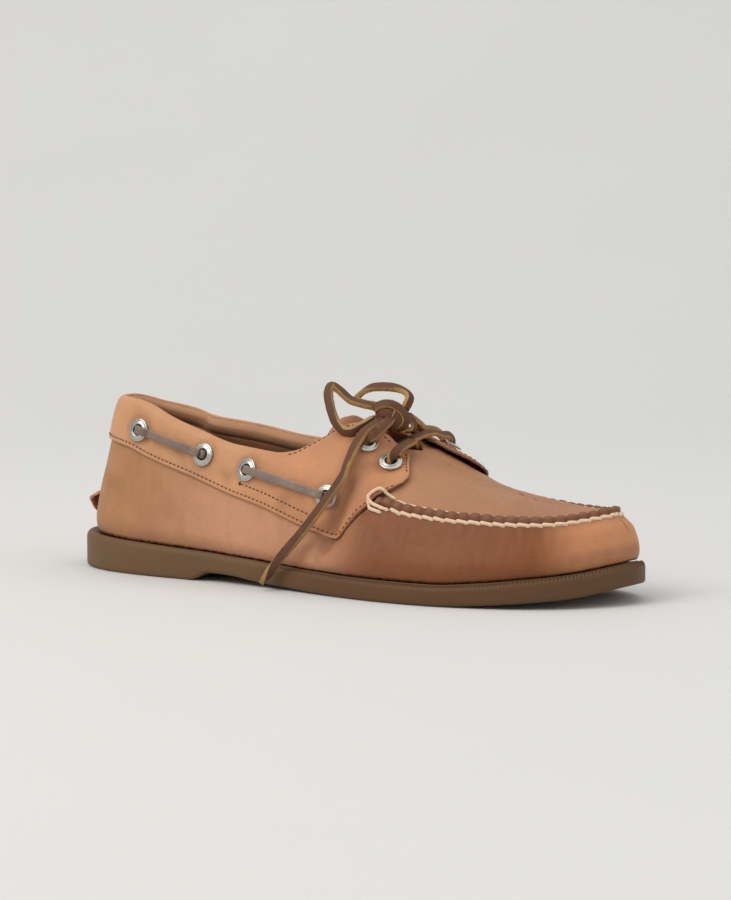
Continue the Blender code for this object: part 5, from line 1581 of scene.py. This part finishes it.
# the two loops of thread that close the seam: along, across, lift
closingLoops = (
    ((0.655, -0.0008, 0.0003), (0.645, -0.0010, 0.0008), (0.633, -0.0006, 0.0010), (0.6225, 0.0008, 0.0010),
     (0.6180, 0.0030, 0.0010), (0.6205, 0.0052, 0.0010), (0.6290, 0.0066, 0.0009), (0.6400, 0.0066, 0.0005),
     (0.655, 0.0062, 0.0000)),
    ((0.6180, 0.0026, 0.0008), (0.6180, 0.0004, 0.0010), (0.6225, -0.0016, 0.0010), (0.6310, -0.0027, 0.0008),
     (0.6390, -0.0030, 0.0005), (0.6430, -0.0028, -0.0003)),
)


def coveredPoint(side, along, across, lift):
    # a point on the leather that lies on top there, the panel's or the upper's
    c = columnAt(side, unskewed(side, along))
    v = heightToV(side, c, across)
    low, high = panelSpan(side, c)
    inside = min(v - low, high - v) * highLength(side, c)
    height = upperRelief(side, c, [v])[0]
    if c < panelEnd(side):
        cover = panelBase(side, c, [v])[0] + panelWall
        height = max(height, cover * float(smoothStep(-0.0006, 0.0006, inside)))
    return columnPoints(side, c, [v])[0] + columnNormals(side, c, [v])[0] * (height + lift)


def seamLoop(side):
    return [smoothPath([coveredPoint(side, *row) for row in turn], 0.0005) for turn in closingLoops]


def makeMocStitches():
    paths = []
    for k in range(mocStitch["first"], mocCount - mocStitch["first"]):
        paths.append(mocPath(k, mocStitch["rear"], mocStitch["front"], mocStitch["rise"]))
        paths.append(mocPath(k, mocRidgeWidth - 0.0001, mocRidgeWidth + 0.0002, 0.00012))
    threadPiece("moc_stitches", paths, 0.5 * moc["thread"], creamThread, 10, 0.07)
    threadPiece("moc_seam_loops", seamLoop(-1) + seamLoop(1), 0.45 * moc["thread"], creamThread,
                10, 0.07)


def panelPoint(side, c, v, lift):
    foot = columnPoints(side, c, [v])
    height = panelBase(side, c, [v])[0] + panelWall + panelRelief(side, c, np.array([v]), foot)[0]
    return foot[0] + columnNormals(side, c, [v])[0] * (height + lift)


sewing = {"pitch": 0.0025, "length": 0.0019, "radius": 0.00030, "rise": 0.00016}


def sewnRow(place, start, end, spec=sewing):
    # stitches along a line of the panel: place gives a point for a share of the line, and a lift
    shares = np.linspace(start, end, 160)
    line = np.array([place(s, 0.0) for s in shares])
    run = runAlong(line)
    count = int(run[-1] / spec["pitch"])
    paths = []
    for k in range(count):
        first = (k + 0.12) * spec["pitch"]
        path = []
        for t in (0.0, 0.2, 0.5, 0.8, 1.0):
            share = float(np.interp(first + t * spec["length"], run, shares))
            path.append(place(share, spec["rise"] * (1 - 3.2 * (2 * t - 1) ** 4)))
        paths.append(path)
    return paths


def lowRow(side, inset):
    def place(c, lift):
        low, high = panelSpan(side, c)
        return panelPoint(side, c, min(low + inset / highLength(side, c), (low + high) / 2), lift)
    return place


def highRow(side, inset):
    def place(c, lift):
        low, high = panelSpan(side, c)
        return panelPoint(side, c, max(high - inset / highLength(side, c), (low + high) / 2), lift)
    return place


def makeSewing():
    paths = []
    for side in (-1, 1):
        end = panelEnd(side) - 0.006
        stayStart = columnAt(side, unskewed(side, 0.448))
        secondStart, secondEnd = (columnAt(side, unskewed(side, a)) for a in (0.375, 0.535))
        paths += sewnRow(lowRow(side, panelSpec["stitchIn"]), 0.0, end)
        paths += sewnRow(lowRow(side, 0.0066), secondStart, secondEnd)
        paths += sewnRow(highRow(side, 0.0026), stayStart, gate - gateBlend)
        paths += sewnRow(highRow(side, 0.0024), gate, end)
    threadPiece("panel_stitches", paths, sewing["radius"], brownThread, 6)
    barTacks = []
    for side in (-1, 1):
        c = columnAt(side, unskewed(side, 0.373))
        for k in range(4):
            barTacks.append([panelPoint(side, c + 0.0006 * k, (0.0058 + 0.0016 * t) / highLength(side, c),
                                        0.0003 * (1 - (2 * t - 1) ** 4)) for t in np.linspace(0, 1, 6)])
    threadPiece("bar_tacks", barTacks, sewing["radius"], brownThread, 6)


def makeTabStitches():
    # pale thread at the top corners of the heel tab, and a row across it
    rows, across = tabRows.shape[:2]
    paths = []
    for row in (4, 9):
        for k in range(2, rows - 4, 4):
            a, b = tabRows[k, row], tabRows[k + 3, row]
            out = np.array([-1.0, 0.0, 0.1])
            paths.append([a + (b - a) * t + out * 0.00035 * (1 - 2.6 * (2 * t - 1) ** 4)
                          for t in (0, 0.2, 0.5, 0.8, 1)])
    threadPiece("heel_tab_stitches", paths, 0.00042, creamThread, 8)


def makeTongueStitches():
    spine = tongueTop[:, :]
    paths, edge = [], 3
    for column in (edge, spine.shape[1] - 1 - edge):
        line = spine[4:34, column]
        run = runAlong(line)
        for k in range(int(run[-1] / sewing["pitch"])):
            path = []
            for t in (0.0, 0.2, 0.5, 0.8, 1.0):
                at = k * sewing["pitch"] + t * sewing["length"]
                point = np.array([np.interp(at, run, line[:, axis]) for axis in range(3)])
                path.append(point + np.array([0, 0, 0.00028 * (1 - 2.4 * (2 * t - 1) ** 4)]))
            paths.append(path)
    threadPiece("tongue_stitches", paths, sewing["radius"], brownThread, 6)


makeMocStitches()
makeSewing()
makeTabStitches()
makeTongueStitches()
print("stitches ready")


# floor and light
studio = {"paper": linear(225, 225, 223), "world": 0.53, "key": 33, "fill": 10, "top": 15,
          "reach": 9.0, "bend": 1.6}


def makeFloor():
    # paper sweep behind the shoe, square to the camera
    back, side = np.array(viewAway), viewRight
    rows = [(-4.0, 0.0), (0.8, 0.0)]
    rows += [(0.8 + studio["bend"] * math.sin(t), studio["bend"] * (1 - math.cos(t)))
             for t in np.linspace(0, math.pi / 2, 24)[1:]]
    rows.append((rows[-1][0], 5.0))
    wide = np.linspace(-studio["reach"], studio["reach"], 5)
    grid = [[back * r + side * k + np.array([0, 0, z]) for k in wide] for r, z in rows]
    material, tree, shader = newMaterial("paper", 0.75, 0.2)
    coloured(tree, shader, studio["paper"], ((noiseNode(tree, 3.0, 2.0), 0.99, 1.01),))
    points, faces, _ = gatherSheets([(grid, (1.0, 1.0, 1.0))])
    mesh = bpy.data.meshes.new("floor")
    mesh.from_pydata(points.tolist(), [], faces.tolist())
    mesh.shade_smooth()
    mesh.materials.append(material)
    floor = bpy.data.objects.new("floor", mesh)
    scene.collection.objects.link(floor)


def addLight(name, energy, size, place, colour=(1, 1, 1)):
    light = bpy.data.lights.new(name, "AREA")
    light.energy, light.size, light.color = energy, size, colour
    item = bpy.data.objects.new(name, light)
    scene.collection.objects.link(item)
    item.location = place
    item.rotation_euler = (Vector((0, 0, 0.03)) - Vector(place)).to_track_quat("-Z", "Y").to_euler()


def lightPlace(right, front, up):
    return Vector(viewRight) * right + Vector(viewFront) * front + Vector((0, 0, up))


def makeLights():
    addLight("key", studio["key"], 1.6, lightPlace(-1.6, 1.1, 1.9), (1.0, 0.98, 0.95))
    addLight("fill", studio["fill"], 2.4, lightPlace(2.2, 1.2, 1.4), (0.97, 0.98, 1.0))
    addLight("top", studio["top"], 2.6, lightPlace(0.1, -0.5, 2.6))
    world = bpy.data.worlds.new("studio")
    world.use_nodes = True
    world.node_tree.nodes["Background"].inputs["Color"].default_value = (1.0, 0.99, 0.97, 1)
    world.node_tree.nodes["Background"].inputs["Strength"].default_value = studio["world"]
    scene.world = world
    scene.view_settings.view_transform = "Standard"


makeFloor()
makeLights()
for slot in nodes["insole"].material_slots:
    slot.material = insoleLeather
nodes["insole"].data.shade_smooth()
print("scene ready")
